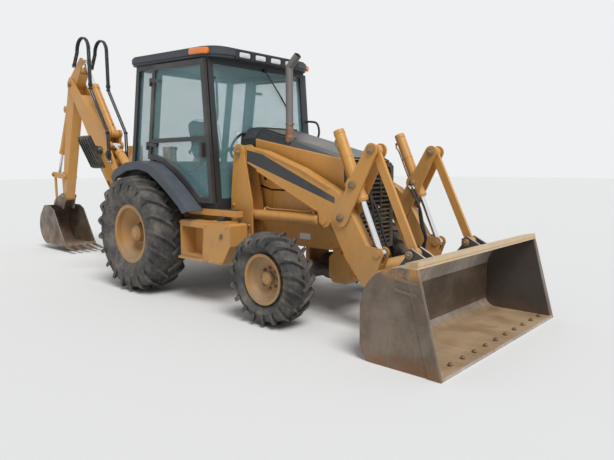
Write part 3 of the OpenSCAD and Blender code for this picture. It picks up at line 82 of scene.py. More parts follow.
# The camera, fitted to the photograph: the way it looks, its right, and its place from the rear axle.
CAMERA_AHEAD, CAMERA_RIGHT = (-0.6715, 0.7319, -0.1164), (0.7372, 0.6757, -0.0034)
CAMERA_PLACE = (5.603, -4.148, 1.407)


# ---------------------------------------------------------------- shader maths
class Wire:
    """A socket or a number in a material, with arithmetic that adds its Math nodes."""

    def __init__(self, net, value):
        self.net, self.value = net, value

    def _math(self, kind, *others):
        return self.net.node("Math", {"operation": kind}, dict(enumerate((self, *others))))

    def __add__(self, other):
        return self._math("ADD", other)

    __radd__ = __add__

    def __sub__(self, other):
        return self._math("SUBTRACT", other)

    def __rsub__(self, other):
        return self.net.node("Math", {"operation": "SUBTRACT"}, {0: other, 1: self})

    def __mul__(self, other):
        return self._math("MULTIPLY", other)

    __rmul__ = __mul__

    def __lt__(self, other):
        return self._math("LESS_THAN", other)

    def __gt__(self, other):
        return self._math("GREATER_THAN", other)

    def abs(self):
        return self._math("ABSOLUTE")

    def low(self, other):
        return self._math("MINIMUM", other)

    def high(self, other):
        return self._math("MAXIMUM", other)

    def ramp(self, start, end):
        """0 at start, 1 at end, smooth between them and clamped outside."""
        return self.net.node(
            "MapRange",
            {"interpolation_type": "SMOOTHSTEP"},
            {"Value": self, "From Min": start, "From Max": end, "To Min": 0.0, "To Max": 1.0},
        )


class Net:
    """A tree of shader nodes with one method that adds any node."""

    def __init__(self, tree):
        self.tree = tree

    def _set(self, socket, value):
        """Links a Wire to the socket, or sets a number, or a colour with or without its alpha."""
        if isinstance(value, Wire):
            self.tree.links.new(value.value, socket)
        elif hasattr(socket.default_value, "__len__") and len(value) < len(socket.default_value):
            socket.default_value = (*value, 1.0)
        else:
            socket.default_value = value

    def node(self, kind, settings=None, values=None, out=0):
        """A node of a kind: its settings come first, then the values or links of its sockets. Gives one output."""
        n = self.tree.nodes.new("ShaderNode" + kind)
        for key, value in (settings or {}).items():
            setattr(n, key, value)
        for key, value in (values or {}).items():
            self._set(n.inputs[key], value)
        return Wire(self, n.outputs[out])


class Finish(Net):
    """A material on the plain shader, with what the finishes share."""

    def __init__(self, name):
        self.material = bpy.data.materials.new(name)
        self.material.use_nodes = True
        super().__init__(self.material.node_tree)
        self.shader = self.tree.nodes["Principled BSDF"]
        self.spot = self.node("TexCoord", out="Object")

    def axis(self, name):
        """X, Y or Z of the place."""
        return self.node("SeparateXYZ", values={0: self.spot}, out=name)

    def normal_axis(self, name):
        """X, Y or Z of the way the surface faces."""
        return self.node("SeparateXYZ", values={0: self.node("NewGeometry", out="Normal")}, out=name)

    def stretched(self, scale):
        """The place scaled along each axis: a pattern on it runs long where the scale is small."""
        return self.node("Mapping", values={"Vector": self.spot, "Scale": scale})

    def noise(self, scale, detail=4.0, rough=0.55, at=None):
        """Soft noise about 0.5, on the place or on a stretched one."""
        return self.node(
            "TexNoise", values={"Vector": at or self.spot, "Scale": scale, "Detail": detail, "Roughness": rough}
        )

    def mix(self, first, second, share):
        """The first colour where share is 0, the second where it is 1."""
        return self.node("Mix", {"data_type": "RGBA"}, {0: share, 6: first, 7: second}, out=2)

    def edges(self, reach):
        """1 near a sharp edge: how far a rounded normal turns from the true one."""
        round_normal = self.node("Bevel", {"samples": 4}, {"Radius": reach})
        true_normal = self.node("NewGeometry", out="Normal")
        match = self.node("VectorMath", {"operation": "DOT_PRODUCT"}, {0: round_normal, 1: true_normal}, out="Value")
        return (1 - match).ramp(0.015, 0.2)

    def bump(self, height, strength, distance):
        """A normal that a height bends."""
        return self.node("Bump", values={"Height": height, "Strength": strength, "Distance": distance})

    def finish(self, **sockets):
        """Feeds the shader's sockets, named in small letters with underscores, and gives the material."""
        for key, value in sockets.items():
            self._set(self.shader.inputs[key.replace("_", " ").title().replace("Ior", "IOR")], value)
        return self.material


def worn_paint(name, colour, dust, rust, cover=None, cover_colour=(0.035, 0.037, 0.04), fade=1.0):
    """Enamel that has faded in soft patches, with dust low down and on top, grime that runs down, and rusty chips
    along the edges. A cover is a second enamel where its mask is 1."""
    n = Finish(name)
    z = n.axis("Z")
    cloud = n.noise(1.6, 4)
    fine = n.noise(38, 6, 0.65)
    run = n.noise(5, 4, 0.6, n.stretched((4.0, 4.0, 0.7)))
    base = colour
    if cover:
        base = n.mix(base, cover_colour, cover(n))
    base = n.mix(base, (0.5, 0.4, 0.27), cloud.ramp(0.48, 0.78) * ((0.12 + 0.18 * dust) * fade))
    base = n.mix(base, (0.12, 0.07, 0.03), run.ramp(0.5, 0.85) * (0.22 * fade))
    grime = n.noise(3.2, 7, 0.72).ramp(0.56, 0.8) * (1.15 - z.ramp(0.4, 2.2) * 0.8)
    base = n.mix(base, (0.075, 0.058, 0.042), grime * 0.42)
    chips = n.edges(0.006) * fine.ramp(0.42, 0.62) * fade
    spots = n.noise(13, 8, 0.72).ramp(0.64, 0.7) * n.noise(2.3, 2).ramp(0.5, 0.66)
    bleed = n.noise(4.2, 6, 0.66, n.stretched((1.6, 1.6, 0.8))).ramp(0.63, 0.74) * 0.6
    rusty = (chips + (spots + bleed) * rust).low(1.0)
    rust_colour = n.mix((0.1, 0.04, 0.016), (0.27, 0.105, 0.035), fine.ramp(0.35, 0.65))
    base = n.mix(base, rust_colour, rusty * 0.85)
    low = (1.0 - z.ramp(0.15, 1.4)) * n.noise(5, 6, 0.7).ramp(0.3, 0.7) * dust
    up = n.normal_axis("Z").ramp(0.55, 0.95) * n.noise(3, 5).ramp(0.3, 0.75) * (dust * 0.6)
    base = n.mix(base, (0.3, 0.24, 0.17), (low + up).low(0.7))
    rough = 0.36 + rusty * 0.4 + low * 0.35 + fine * 0.1
    return n.finish(base_color=base, roughness=rough, normal=n.bump(fine * 0.4 + rusty + cloud * 0.3, 0.12, 0.002))


def bare_steel(name, dark, light, rust_height):
    """Steel rubbed by soil: scratches along the machine, tan dust, and rust that gathers up to a height."""
    n = Finish(name)
    z = n.axis("Z")
    drag = n.noise(5, 8, 0.62, n.stretched((1.0, 12.0, 1.0)))
    cloud = n.noise(2.6, 6, 0.6)
    patch = n.noise(7, 5, 0.6)
    base = n.mix(dark, light, (drag * 0.55 + cloud * 0.45).ramp(0.36, 0.66))
    base = n.mix(base, (0.26, 0.2, 0.14), patch.ramp(0.48, 0.74) * 0.5)
    rust = (1.0 - z.ramp(rust_height * 0.3, rust_height)) * n.noise(6, 8, 0.7).ramp(0.4, 0.68)
    base = n.mix(base, (0.22, 0.095, 0.035), rust * 0.7)
    base = n.mix(base, (0.42, 0.38, 0.32), n.edges(0.008) * 0.5)
    rough = 0.62 - drag * 0.2 + rust * 0.25
    return n.finish(
        base_color=base, roughness=rough, metallic=0.3, normal=n.bump(drag + cloud * 0.6, 0.2, 0.003)
    )


def bucket_steel(name, enamel):
    """The loader bucket: grey back wall polished along the soil's way, tan floor, brown side plates that rust along
    the ground, painted shade on the inner faces of its end plates, and what is left of the enamel along the top."""
    n = Finish(name)
    x, y, z = n.axis("X"), n.axis("Y").abs(), n.axis("Z")
    drag = n.noise(4, 7, 0.55, n.stretched((0.9, 7.0, 0.9)))
    cloud = n.noise(2.2, 6, 0.62)
    fine = n.noise(30, 6, 0.66)
    inner = (y < 1.031) * (x > 3.29 + SHIFT)
    # painted shade: the mask of the end plates' inner faces, where the bucket's hollow falls in shadow
    ends = n.normal_axis("Y").abs().ramp(0.6, 0.9) * inner
    side = n.mix((0.11, 0.08, 0.058), (0.22, 0.17, 0.128), cloud.ramp(0.36, 0.66))
    streaks = n.noise(9, 6, 0.6, n.stretched((5.0, 5.0, 0.5))).ramp(0.5, 0.75)
    side = n.mix(side, (0.13, 0.07, 0.04), streaks * (1.0 - z.ramp(0.1, 0.5)) * 0.8)
    side = n.mix(side, (0.3, 0.25, 0.19), fine.ramp(0.55, 0.75) * 0.3)
    wall = n.mix((0.33, 0.3, 0.275), (0.56, 0.52, 0.49), (drag * 0.35 + cloud * 0.65).ramp(0.38, 0.64))
    soil = (drag * 0.5 + n.noise(3.5, 6).ramp(0.3, 0.7) * 0.5).ramp(0.25, 0.7)
    floor = n.mix((0.33, 0.22, 0.12), (0.6, 0.45, 0.28), soil)
    level = n.normal_axis("Z").ramp(0.55, 0.95) * (1.0 - z.ramp(0.08, 0.3))
    base = n.mix(side, n.mix(wall, floor, level), inner)
    tan = n.normal_axis("Z").ramp(0.1, 0.9) * (1.0 - z.ramp(0.3, 0.5)) * inner
    base = n.mix(base, (0.45, 0.33, 0.2), tan * n.noise(4, 6).ramp(0.3, 0.6) * 0.5)
    front = (x - between(z, 0.0, 0.74, 3.86 + SHIFT, 3.67 + SHIFT)).ramp(0.0, 0.012)
    # painted shade: the inner faces of the end plates darkened nearly to black behind the sloping front edge
    base = n.mix(base, (0.05, 0.042, 0.038), ends * (1.0 - front) * 0.92)
    rust = (1.0 - z.ramp(0.02, 0.16)) * n.noise(7, 8, 0.7).ramp(0.3, 0.6) * (1.0 - inner * 0.6)
    rust = (rust + n.noise(9, 8, 0.7).ramp(0.64, 0.74) * 0.7).low(1.0)
    base = n.mix(base, n.mix((0.16, 0.07, 0.03), (0.34, 0.15, 0.055), fine), rust * 0.75)
    left_over = z.ramp(0.6, 0.73) * n.noise(6, 7, 0.7).ramp(0.42, 0.56) * (1.0 - inner)
    base = n.mix(base, enamel, left_over * 0.75)
    lip = (z > 0.722) * (x > 3.6 + SHIFT)
    base = n.mix(base, (0.62, 0.43, 0.22), lip * (0.6 + n.noise(8, 7, 0.7).ramp(0.35, 0.65) * 0.35))
    base = n.mix(base, (0.44, 0.38, 0.3), n.edges(0.007) * 0.55)
    rough = 0.6 - drag * 0.22 + rust * 0.25
    height = drag * 0.4 + cloud * 0.6 + fine * 0.25
    return n.finish(base_color=base, roughness=rough, metallic=0.25, normal=n.bump(height, 0.14, 0.003))


def dusty_rubber(name, clean, dirt, amount):
    """Tyre rubber: dark, with brown dust in the hollows and fine cracks."""
    n = Finish(name)
    cloud = n.noise(6, 7, 0.7)
    grain = n.noise(90, 5, 0.6)
    base = n.mix(clean, dirt, cloud.ramp(0.38, 0.72) * amount)
    base = n.mix(base, tuple(c * 1.4 for c in dirt), n.noise(20, 8, 0.75).ramp(0.58, 0.75) * amount * 0.6)
    return n.finish(
        base_color=base, roughness=0.78 + grain * 0.15, normal=n.bump(grain + cloud * 0.8, 0.35, 0.003)
    )


def moulded(name, colour, rough, grain=240, dust=0.25, below=None):
    """Moulded plastic with a fine grain and a little dust on top, and a darker colour on its upright faces."""
    n = Finish(name)
    speck = n.noise(grain, 2, 0.5)
    if below:
        colour, plain = n.mix(below, colour, n.normal_axis("Z").ramp(0.45, 0.75)), colour
    else:
        plain = colour
    dusty = n.normal_axis("Z").ramp(0.2, 0.9) * n.noise(4, 6).ramp(0.35, 0.7) * dust
    base = n.mix(colour, tuple(min(1, c * 1.5 + 0.05) for c in plain), dusty + n.noise(3, 4).ramp(0.45, 0.8) * 0.12)
    return n.finish(base_color=base, roughness=rough + speck * 0.12, normal=n.bump(speck, 0.25, 0.0006))


def clear_glass(name, tint, alpha):
    """Tinted safety glass, a thin pane that lets the cab's inside show."""
    n = Finish(name)
    smear = n.noise(3.5, 6, 0.6, n.stretched((1.0, 1.0, 3.0)))
    n.material.surface_render_method = "BLENDED"
    return n.finish(base_color=tint, roughness=0.02 + smear * 0.06, alpha=alpha + smear * 0.1, specular_ior_level=0.6)


def plain_metal(name, colour, rough, metallic=1.0, patches=0.0):
    """Polished or dull metal with faint smears."""
    n = Finish(name)
    smear = n.noise(14, 6, 0.6)
    base = n.mix(colour, tuple(c * 0.55 for c in colour), smear.ramp(0.5, 0.8) * (0.25 + patches))
    shine = rough + smear * 0.12
    return n.finish(base_color=base, roughness=shine, metallic=metallic, normal=n.bump(smear, 0.05, 0.001))

def glow_lens(name, colour):
    """Moulded lens with prism ribs inside."""
    n = Finish(name)
    ribs = n.node("TexWave", {"bands_direction": "Z"}, {"Vector": n.spot, "Scale": 60.0, "Distortion": 0.0}, out="Fac")
    return n.finish(base_color=colour, roughness=0.12, coat_weight=0.8, normal=n.bump(ribs, 0.4, 0.002))


def woven(name, colour):
    """Seat cloth: a twill of two fine wave patterns."""
    n = Finish(name)
    one = n.node("TexWave", {"bands_direction": "DIAGONAL"}, {"Vector": n.spot, "Scale": 120.0}, out="Fac")
    two = n.node("TexWave", {"bands_direction": "X"}, {"Vector": n.spot, "Scale": 160.0}, out="Fac")
    weave = one * two
    base = n.mix(colour, tuple(min(1, c * 2.2) for c in colour), weave.ramp(0.2, 0.9) * 0.5)
    return n.finish(base_color=base, roughness=0.9, sheen_weight=0.25, normal=n.bump(weave, 0.5, 0.0015))


def between(x, start, end, low, high):
    """The height of the straight line from (start, low) to (end, high) at x, all from the rear axle."""
    return (x - (start + SHIFT)) * ((high - low) / (end - start)) + low


def arm_stripe(n):
    """The dark wedge along a loader arm: a band under the arm's upper edge that narrows to a point at its front."""
    x, z = n.axis("X"), n.axis("Z")
    upper = between(x, 1.43, 1.69, 1.575, 1.522).low(between(x, 1.69, 2.62, 1.522, 1.13))
    lower = between(x, 1.43, 2.62, 1.468, 1.075)
    inside = (upper - z).ramp(0.0, 0.002) * (z - lower).ramp(0.0, 0.002)
    return inside * (x > (1.47 + SHIFT)) * (x < (2.6 + SHIFT))


def hood_grey(n):
    """Everything above the line where the hood's sides turn into its top."""
    x, z = n.axis("X"), n.axis("Z")
    return (z - between(x, 1.42, 2.565, 1.683, 1.465)).ramp(0.0, 0.002)


def cab_sill(n):
    """The sill beams under the cab's floor, and the deck's edge."""
    return 1.0 - n.axis("Z").ramp(0.974, 0.976)


FINISHES = {}


def make_finishes(looks):
    """Every finish by name. The machine's own colour, dust and rust come from the settings."""
    paint, dust, rust = tuple(looks.paint), looks.dust, looks.rust
    FINISHES.update(
        paint=worn_paint("golden_enamel", paint, dust, rust),
        rim=worn_paint("rim_enamel", tuple(c * 0.78 for c in paint), 0.95, 1.0),
        arms=worn_paint("golden_enamel_striped", paint, dust, rust, arm_stripe),
        hood=worn_paint("golden_enamel_hood", paint, dust * 0.8, rust * 0.6, hood_grey, (0.05, 0.054, 0.06)),
        cab=worn_paint("cab_enamel", (0.022, 0.025, 0.029), dust * 0.15, rust * 0.1, cab_sill, paint, 0.25),
        bucket=bucket_steel("loader_bucket_steel", paint),
        dark=worn_paint("charcoal_enamel", (0.028, 0.03, 0.033), dust * 0.7, rust * 0.5),
        steel=bare_steel("soil_rubbed_steel", (0.1, 0.075, 0.055), (0.27, 0.225, 0.18), 0.55),
        tyre=dusty_rubber("tyre_rubber", (0.05, 0.049, 0.05), (0.2, 0.172, 0.138), 0.8),
        roof=moulded("roof_plastic", (0.13, 0.14, 0.15), 0.5, 200, 0.5, (0.042, 0.05, 0.062)),
        fender=moulded("fender_plastic", (0.058, 0.068, 0.082), 0.5, 260, 0.35),
        glass=clear_glass("tinted_glass", (0.26, 0.47, 0.5), alpha=0.2),
        lamps=moulded("lamp_housing", (0.012, 0.012, 0.013), 0.35),
        cushion=woven("seat_cloth", (0.018, 0.018, 0.02)),
        interior=moulded("cab_plastic", (0.02, 0.021, 0.023), 0.6),
        stack=plain_metal("stack_steel", (0.2, 0.19, 0.18), 0.5, 0.7, 0.4),
        rod=plain_metal("hard_chrome", (0.75, 0.76, 0.78), 0.12),
        pad=bare_steel("pad_steel", (0.03, 0.03, 0.03), (0.1, 0.09, 0.08), 0.5),
        hose=moulded("hose_rubber", (0.014, 0.014, 0.015), 0.5, 120, 0.3),
        amber=glow_lens("amber_lens", (0.85, 0.2, 0.01)),
        clear=glow_lens("lamp_glass", (0.7, 0.72, 0.72)),
        nut=plain_metal("zinc_steel", (0.42, 0.4, 0.37), 0.42, 0.9, 0.4),
        rusty=bare_steel("rusty_steel", (0.13, 0.06, 0.03), (0.3, 0.17, 0.09), 0.6),
        worn_pin=bare_steel("worn_pin_steel", (0.12, 0.085, 0.05), (0.45, 0.29, 0.12), 0.1),
        red=glow_lens("red_lens", (0.5, 0.015, 0.01)),
        label=moulded("blank_plate", (0.72, 0.72, 0.68), 0.35, 100, 0.2),
        seal=moulded("rubber_seal", (0.012, 0.012, 0.012), 0.7, 100, 0.1),
    )


# ---------------------------------------------------------------- surfaces
def skin(points, close_u=False, close_v=False):
    """Faces of a grid of points: quads between neighbours along u and v, closed round where asked."""
    nu, nv = points.shape[:2]
    index = np.arange(nu * nv).reshape(nu, nv)
    iu = np.arange(nu if close_u else nu - 1)
    iv = np.arange(nv if close_v else nv - 1)
    a = index[np.ix_(iu, iv)]
    b = index[np.ix_((iu + 1) % nu, iv)]
    c = index[np.ix_((iu + 1) % nu, (iv + 1) % nv)]
    d = index[np.ix_(iu, (iv + 1) % nv)]
    return points.reshape(-1, 3), np.stack([a, b, c, d], -1).reshape(-1, 4)


def joined(parts):
    """Several (points, faces) as one."""
    points, faces, count = [], [], 0
    for p, f in parts:
        points.append(p)
        faces.append(np.asarray(f) + count)
        count += len(p)
    return np.concatenate(points), np.concatenate(faces)


def mirrored(part):
    """The part on the machine's other side: Y is turned over, and the faces with it."""
    p, f = part
    return p * (1, -1, 1), f[:, ::-1]


def piece(name, part, finish, body, angle=40, bevel=0.0, replaces=()):
    """One object from points and quads, with its finish, riding on a body, or on none.
    Faces that meet at more than the angle, in degrees, keep a sharp edge, which a bevel eases."""
    points, faces = part
    mesh = bpy.data.meshes.new(name)
    mesh.from_pydata(points.tolist(), [], faces.tolist())
    mesh.update()
    mesh.shade_smooth()
    mesh.set_sharp_from_angle(angle=math.radians(angle))
    made = bpy.data.objects.new(name, mesh)
    bpy.context.scene.collection.objects.link(made)
    mesh.materials.append(FINISHES[finish])
    if bevel:
        soft = made.modifiers.new("bevel", "BEVEL")
        soft.width, soft.segments, soft.limit_method = bevel, 2, "ANGLE"
    if body:
        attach(made, body)
    if replaces:
        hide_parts(*replaces)
    return made


def frames_along(path):
    """Two unit vectors across the path at each point, turning as little as they can."""
    tangent = np.gradient(path, axis=0)
    tangent /= np.linalg.norm(tangent, axis=1, keepdims=True)
    side = np.cross(tangent[0], (0.3, 0.2, 1.0) if abs(tangent[0][2]) < 0.9 else (1.0, 0.2, 0.1))
    sides = []
    for t in tangent:
        side = side - t * (side @ t)
        side /= np.linalg.norm(side)
        sides.append(side)
    sides = np.array(sides)
    return sides, np.cross(tangent, sides)


def tube(path, radius, sides=12):
    """A circle carried along a path; its ends close to a point."""
    path = np.asarray(path, float)
    a, b = frames_along(path)
    turn = np.linspace(0, 2 * np.pi, sides, endpoint=False)[None, :, None]
    ring = path[:, None] + radius * (np.cos(turn) * a[:, None] + np.sin(turn) * b[:, None])
    first, last = np.repeat(path[:1, None], sides, 1), np.repeat(path[-1:, None], sides, 1)
    return skin(np.concatenate([first, ring, last]), close_v=True)


def bow(*corners, count=40):
    """A smooth curve through the corners: Catmull-Rom, evenly stepped."""
    p = np.asarray(corners, float)
    p = np.concatenate([2 * p[:1] - p[1:2], p, 2 * p[-1:] - p[-2:-1]])
    t = np.linspace(0, len(p) - 3 - 1e-6, count)
    i = t.astype(int)
    u = (t - i)[:, None]
    p0, p1, p2, p3 = p[i], p[i + 1], p[i + 2], p[i + 3]
    return 0.5 * (2 * p1 + (p2 - p0) * u + (2 * p0 - 5 * p1 + 4 * p2 - p3) * u**2 + (3 * p1 - p0 - 3 * p2 + p3) * u**3)


def turned(profile, centre, axis, count=48):
    """A profile of (radius, distance along the axis), turned about the axis."""
    profile = np.asarray(profile, float)
    axis = np.asarray(axis, float) / np.linalg.norm(axis)
    a = np.cross(axis, (0.0, 0.0, 1.0) if abs(axis[2]) < 0.9 else (1.0, 0.0, 0.0))
    a /= np.linalg.norm(a)
    b = np.cross(axis, a)
    turn = np.linspace(0, 2 * np.pi, count, endpoint=False)
    ring = np.cos(turn)[:, None] * a + np.sin(turn)[:, None] * b
    points = np.asarray(centre, float) + profile[:, 0, None, None] * ring + profile[:, 1, None, None] * axis
    return skin(points, close_v=True)


def drum(centre, axis, radius, start, end, edge, count):
    """A short cylinder with eased edges."""
    rim = radius - edge
    profile = [(0, start), (rim, start), (radius, start + edge), (radius, end - edge), (rim, end), (0, end)]
    return turned(profile, centre, axis, count)


def hex_heads(centres, axis, across, height):
    """Hexagon heads with a small chamfer, one at each centre."""
    r = across / 2 / math.cos(math.pi / 6)
    profile = [(0, 0), (r, 0), (r, height * 0.8), (r * 0.85, height), (0, height)]
    return joined([turned(profile, c, axis, 6) for c in centres])


def block(low, high):
    """A box by its lowest and highest corners."""
    (x0, y0, z0), (x1, y1, z1) = low, high
    p = np.array([(x, y, z) for x in (x0, x1) for y in (y0, y1) for z in (z0, z1)], float)
    return p, np.array([(0, 1, 3, 2), (4, 6, 7, 5), (0, 4, 5, 1), (2, 3, 7, 6), (0, 2, 6, 4), (1, 5, 7, 3)])


def at(x, y, z):
    """A place of the drawing, in metres from the rear axle on the ground, as a place of the frame."""
    return np.array((x + SHIFT, y, z), float)


def on_roof(x, y, up):
    """A place on the leaning roof: x from the rear axle, up from its lower face."""
    lean = math.atan2(ROOF_FALL, ROOF_RUN)
    dx = x - ROOF_X
    c, s = math.cos(lean), math.sin(lean)
    return at(ROOF_X + dx * c + up * s, y, ROOF_SEAT - dx * s + up * c)


def roof_line(x):
    """Height of the roof's lower face at x from the rear axle, on the posts."""
    return POST_TOP + (ROOF_X - x) * ROOF_FALL / ROOF_RUN


def both_sides(part):
    """The part and its mirror image on the machine's other side."""
    return joined([part, mirrored(part)])


def bead(corners, radius, sides=8):
    """A round bead along a closed flat line: a circle at each corner, turned with the line. The line's plane is taken
    from its first three points."""
    p = np.asarray(corners, float)
    ahead = np.roll(p, -1, 0) - np.roll(p, 1, 0)
    ahead /= np.linalg.norm(ahead, axis=1, keepdims=True)
    flat = np.cross(p[1] - p[0], p[2] - p[1])
    flat /= np.linalg.norm(flat)
    out = np.cross(ahead, flat)
    turn = np.linspace(0, 2 * np.pi, sides, endpoint=False)
    ring = p[:, None] + radius * (np.cos(turn)[None, :, None] * out[:, None] + np.sin(turn)[None, :, None] * flat)
    points, faces = skin(ring, close_u=True, close_v=True)
    return points, faces[:, ::-1]


def dense(corners):
    """A closed line through the corners with a point at about every step along its straight sides."""
    p, step = np.asarray(corners, float), 0.03
    lines = []
    for a, b in zip(p, np.roll(p, -1, 0)):
        count = max(2, int(np.linalg.norm(b - a) / step))
        lines.append(a + (b - a) * np.linspace(0, 1, count, endpoint=False)[:, None])
    return np.concatenate(lines)


def pin_end(centre, axis, radius):
    """The end of a pin: a collar, a domed end and a small grease fitting in its middle."""
    collar = [(0, -0.002), (radius + 0.009, -0.002), (radius + 0.009, 0.004), (radius + 0.006, 0.007)]
    dome = [(radius + 0.001, 0.007), (radius, 0.01), (radius * 0.8, 0.013), (0.008, 0.014)]
    grease = [(0.006, 0.017), (0.006, 0.021), (0.0035, 0.025), (0, 0.026)]
    return turned(collar + dome + grease, centre, axis, 28)


def keeper(centre, axis, along, radius):
    """The keeper of a pin: a strap with round ends from the pin's edge to its bolt, and the bolt."""
    half, thick, to_bolt = 0.013, 0.006, radius + 0.028
    centre, axis, along = (np.asarray(v, float) for v in (centre, axis, along))
    across = np.cross(axis, along)
    turn = np.linspace(0, 2 * np.pi, 24, endpoint=False)
    reach = np.where(np.cos(turn) > 0, to_bolt, radius - 0.004)
    outline = centre + (reach + half * np.cos(turn))[:, None] * along + half * np.sin(turn)[:, None] * across
    middle = outline * 0 + outline.mean(0)
    strap = skin(np.array([middle, outline, outline + thick * axis, middle + thick * axis]), close_v=True)
    return joined([strap, hex_heads([centre + to_bolt * along + 0.005 * axis], axis, 0.017, 0.008)])


def line_tube(radius, *corners, count=40):
    """A steel line or bar: a tube along the smooth curve through the corners."""
    return tube(bow(*corners, count=count), radius, 10)


def fitting(centre, axis, radius):
    """A hose end: a hexagon nut on a round socket with a crimped collar. Its profile goes in hose radii."""
    profile = ((0, 1), (1.3, 1), (1.35, 1.4), (1.2, 1.6), (1.35, 1.8), (1.35, 3.2), (1.1, 3.6), (0, 3.6))
    socket = turned([(radius * a, radius * b) for a, b in profile], centre, axis, 16)
    return joined([hex_heads([centre], axis, radius * 3.0, radius * 1.1), socket])


# ---------------------------------------------------------------- tyres
LUG_LEAN = -0.31  # angle that a tread bar covers from the tyre's middle to its shoulder, in radians
SHOULDER = 0.86  # share of the bar's run at which it reaches the shoulder


def lug_points(count, width, top, depth, base, drop):
    """Tread bars of one side, as points (bar, along, across). Along a bar, s runs from 0 near the tyre's middle to 1 on
    the side wall. The bar's angle grows with s to the power 0.85, its y grows evenly up to the shoulder, and its crown
    falls with the square of y, and by the drop past the shoulder. Across it are four points: up, over and down."""
    s = np.linspace(0, 1, 9)
    past = np.maximum(s - SHOULDER, 0)
    turn = np.linspace(0, 2 * np.pi, count, endpoint=False)[:, None] + LUG_LEAN * s**0.85
    half, overlap = width / 2, 0.03 * width
    y = -overlap + (half + overlap) * np.minimum(s / SHOULDER, 1.0)
    high = top * (1 - 0.018 * (y / half) ** 2 * 3) - drop * past / 0.14
    low = high - depth - 0.012
    wide = base * (0.62 + 0.38 * s)
    across, level = np.array([-1.0, -0.72, 0.72, 1.0]), np.array([0.0, 1.0, 1.0, 0.0])
    r = low[:, None] + (high - low)[:, None] * level
    angle = turn[:, :, None] + across * (wide / 2 / top)[:, None]
    x, z = r[None] * np.sin(angle), r[None] * np.cos(angle)
    return np.stack([x, np.broadcast_to((y + 0.006 * past / 0.14)[:, None], x.shape), z], -1)


def lugs(*sizes):
    """All bars of one side as one mesh: four rows of points along each bar, with both ends closed."""
    parts = []
    for bar in lug_points(*sizes):
        start = np.repeat(bar[:1, 1:3].mean(1, keepdims=True), 4, 1)
        end = np.repeat(bar[-1:].mean(1, keepdims=True), 4, 1)
        parts.append(skin(np.concatenate([start, bar, end]), close_v=True))
    return joined(parts)


def tyre(name, body, node, axle, y, radius, width, rim, count, depth, base, drop):
    """Casing and two sides of leaning tread bars, half a pitch apart. The casing is a profile of (radius, y) from bead
    to bead, turned about the axle, whose wall is given by its radius and its distance from the tyre's side."""
    h = width / 2
    r = radius - depth
    centre = (axle[0], y, axle[1])
    wall = [
        (rim, 0.085), (rim + 0.03, 0.06), (rim + 0.05, 0.045), ((rim + r) / 2, 0.006),
        (r - 0.07, 0.012), (r - 0.03, 0.028), (r - 0.012, 0.055),
    ]
    tread = [(r - 0.002, -h * 0.5), (r, 0), (r - 0.002, h * 0.5)]
    profile = [(a, -h + b) for a, b in wall] + tread + [(a, h - b) for a, b in wall[::-1]]
    one, faces = lugs(count, width, radius, depth, base, drop)
    cos, sin = np.cos(np.pi / count), np.sin(np.pi / count)
    other = (one * (1, -1, 1)) @ np.array([[cos, 0, sin], [0, 1, 0], [-sin, 0, cos]]).T
    part = joined([turned(profile, centre, (0, 1, 0), 120), (one + centre, faces), (other + centre, faces[:, ::-1])])
    piece(name, part, "tyre", body, 30, replaces=(node,))


# ---------------------------------------------------------------- settings
class LoaderLooks(bpy.types.PropertyGroup):
    """Colours and wear of the machine"""

    paint: bpy.props.FloatVectorProperty(
        name="Enamel", description="Colour of the machine's enamel", subtype="COLOR", size=3, min=0, max=1,
        default=(0.58, 0.28, 0.062),
    )
    dust: bpy.props.FloatProperty(name="Dust", description="How much dust lies low down", default=0.5, min=0, max=1)
    rust: bpy.props.FloatProperty(name="Rust", description="How many rust spots show", default=0.4, min=0, max=1)


class StudioLooks(bpy.types.PropertyGroup):
    """Camera and light"""

    lens: bpy.props.FloatProperty(
        name="Lens", description="Focal length of the camera", default=32.05, min=10, max=200, unit="CAMERA"
    )
    sun: bpy.props.FloatProperty(
        name="Key light", description="Strength of the soft key light", default=2.6, min=0, max=20
    )
    sky: bpy.props.FloatProperty(name="Fill light", description="Strength of the even fill", default=0.42, min=0, max=5)


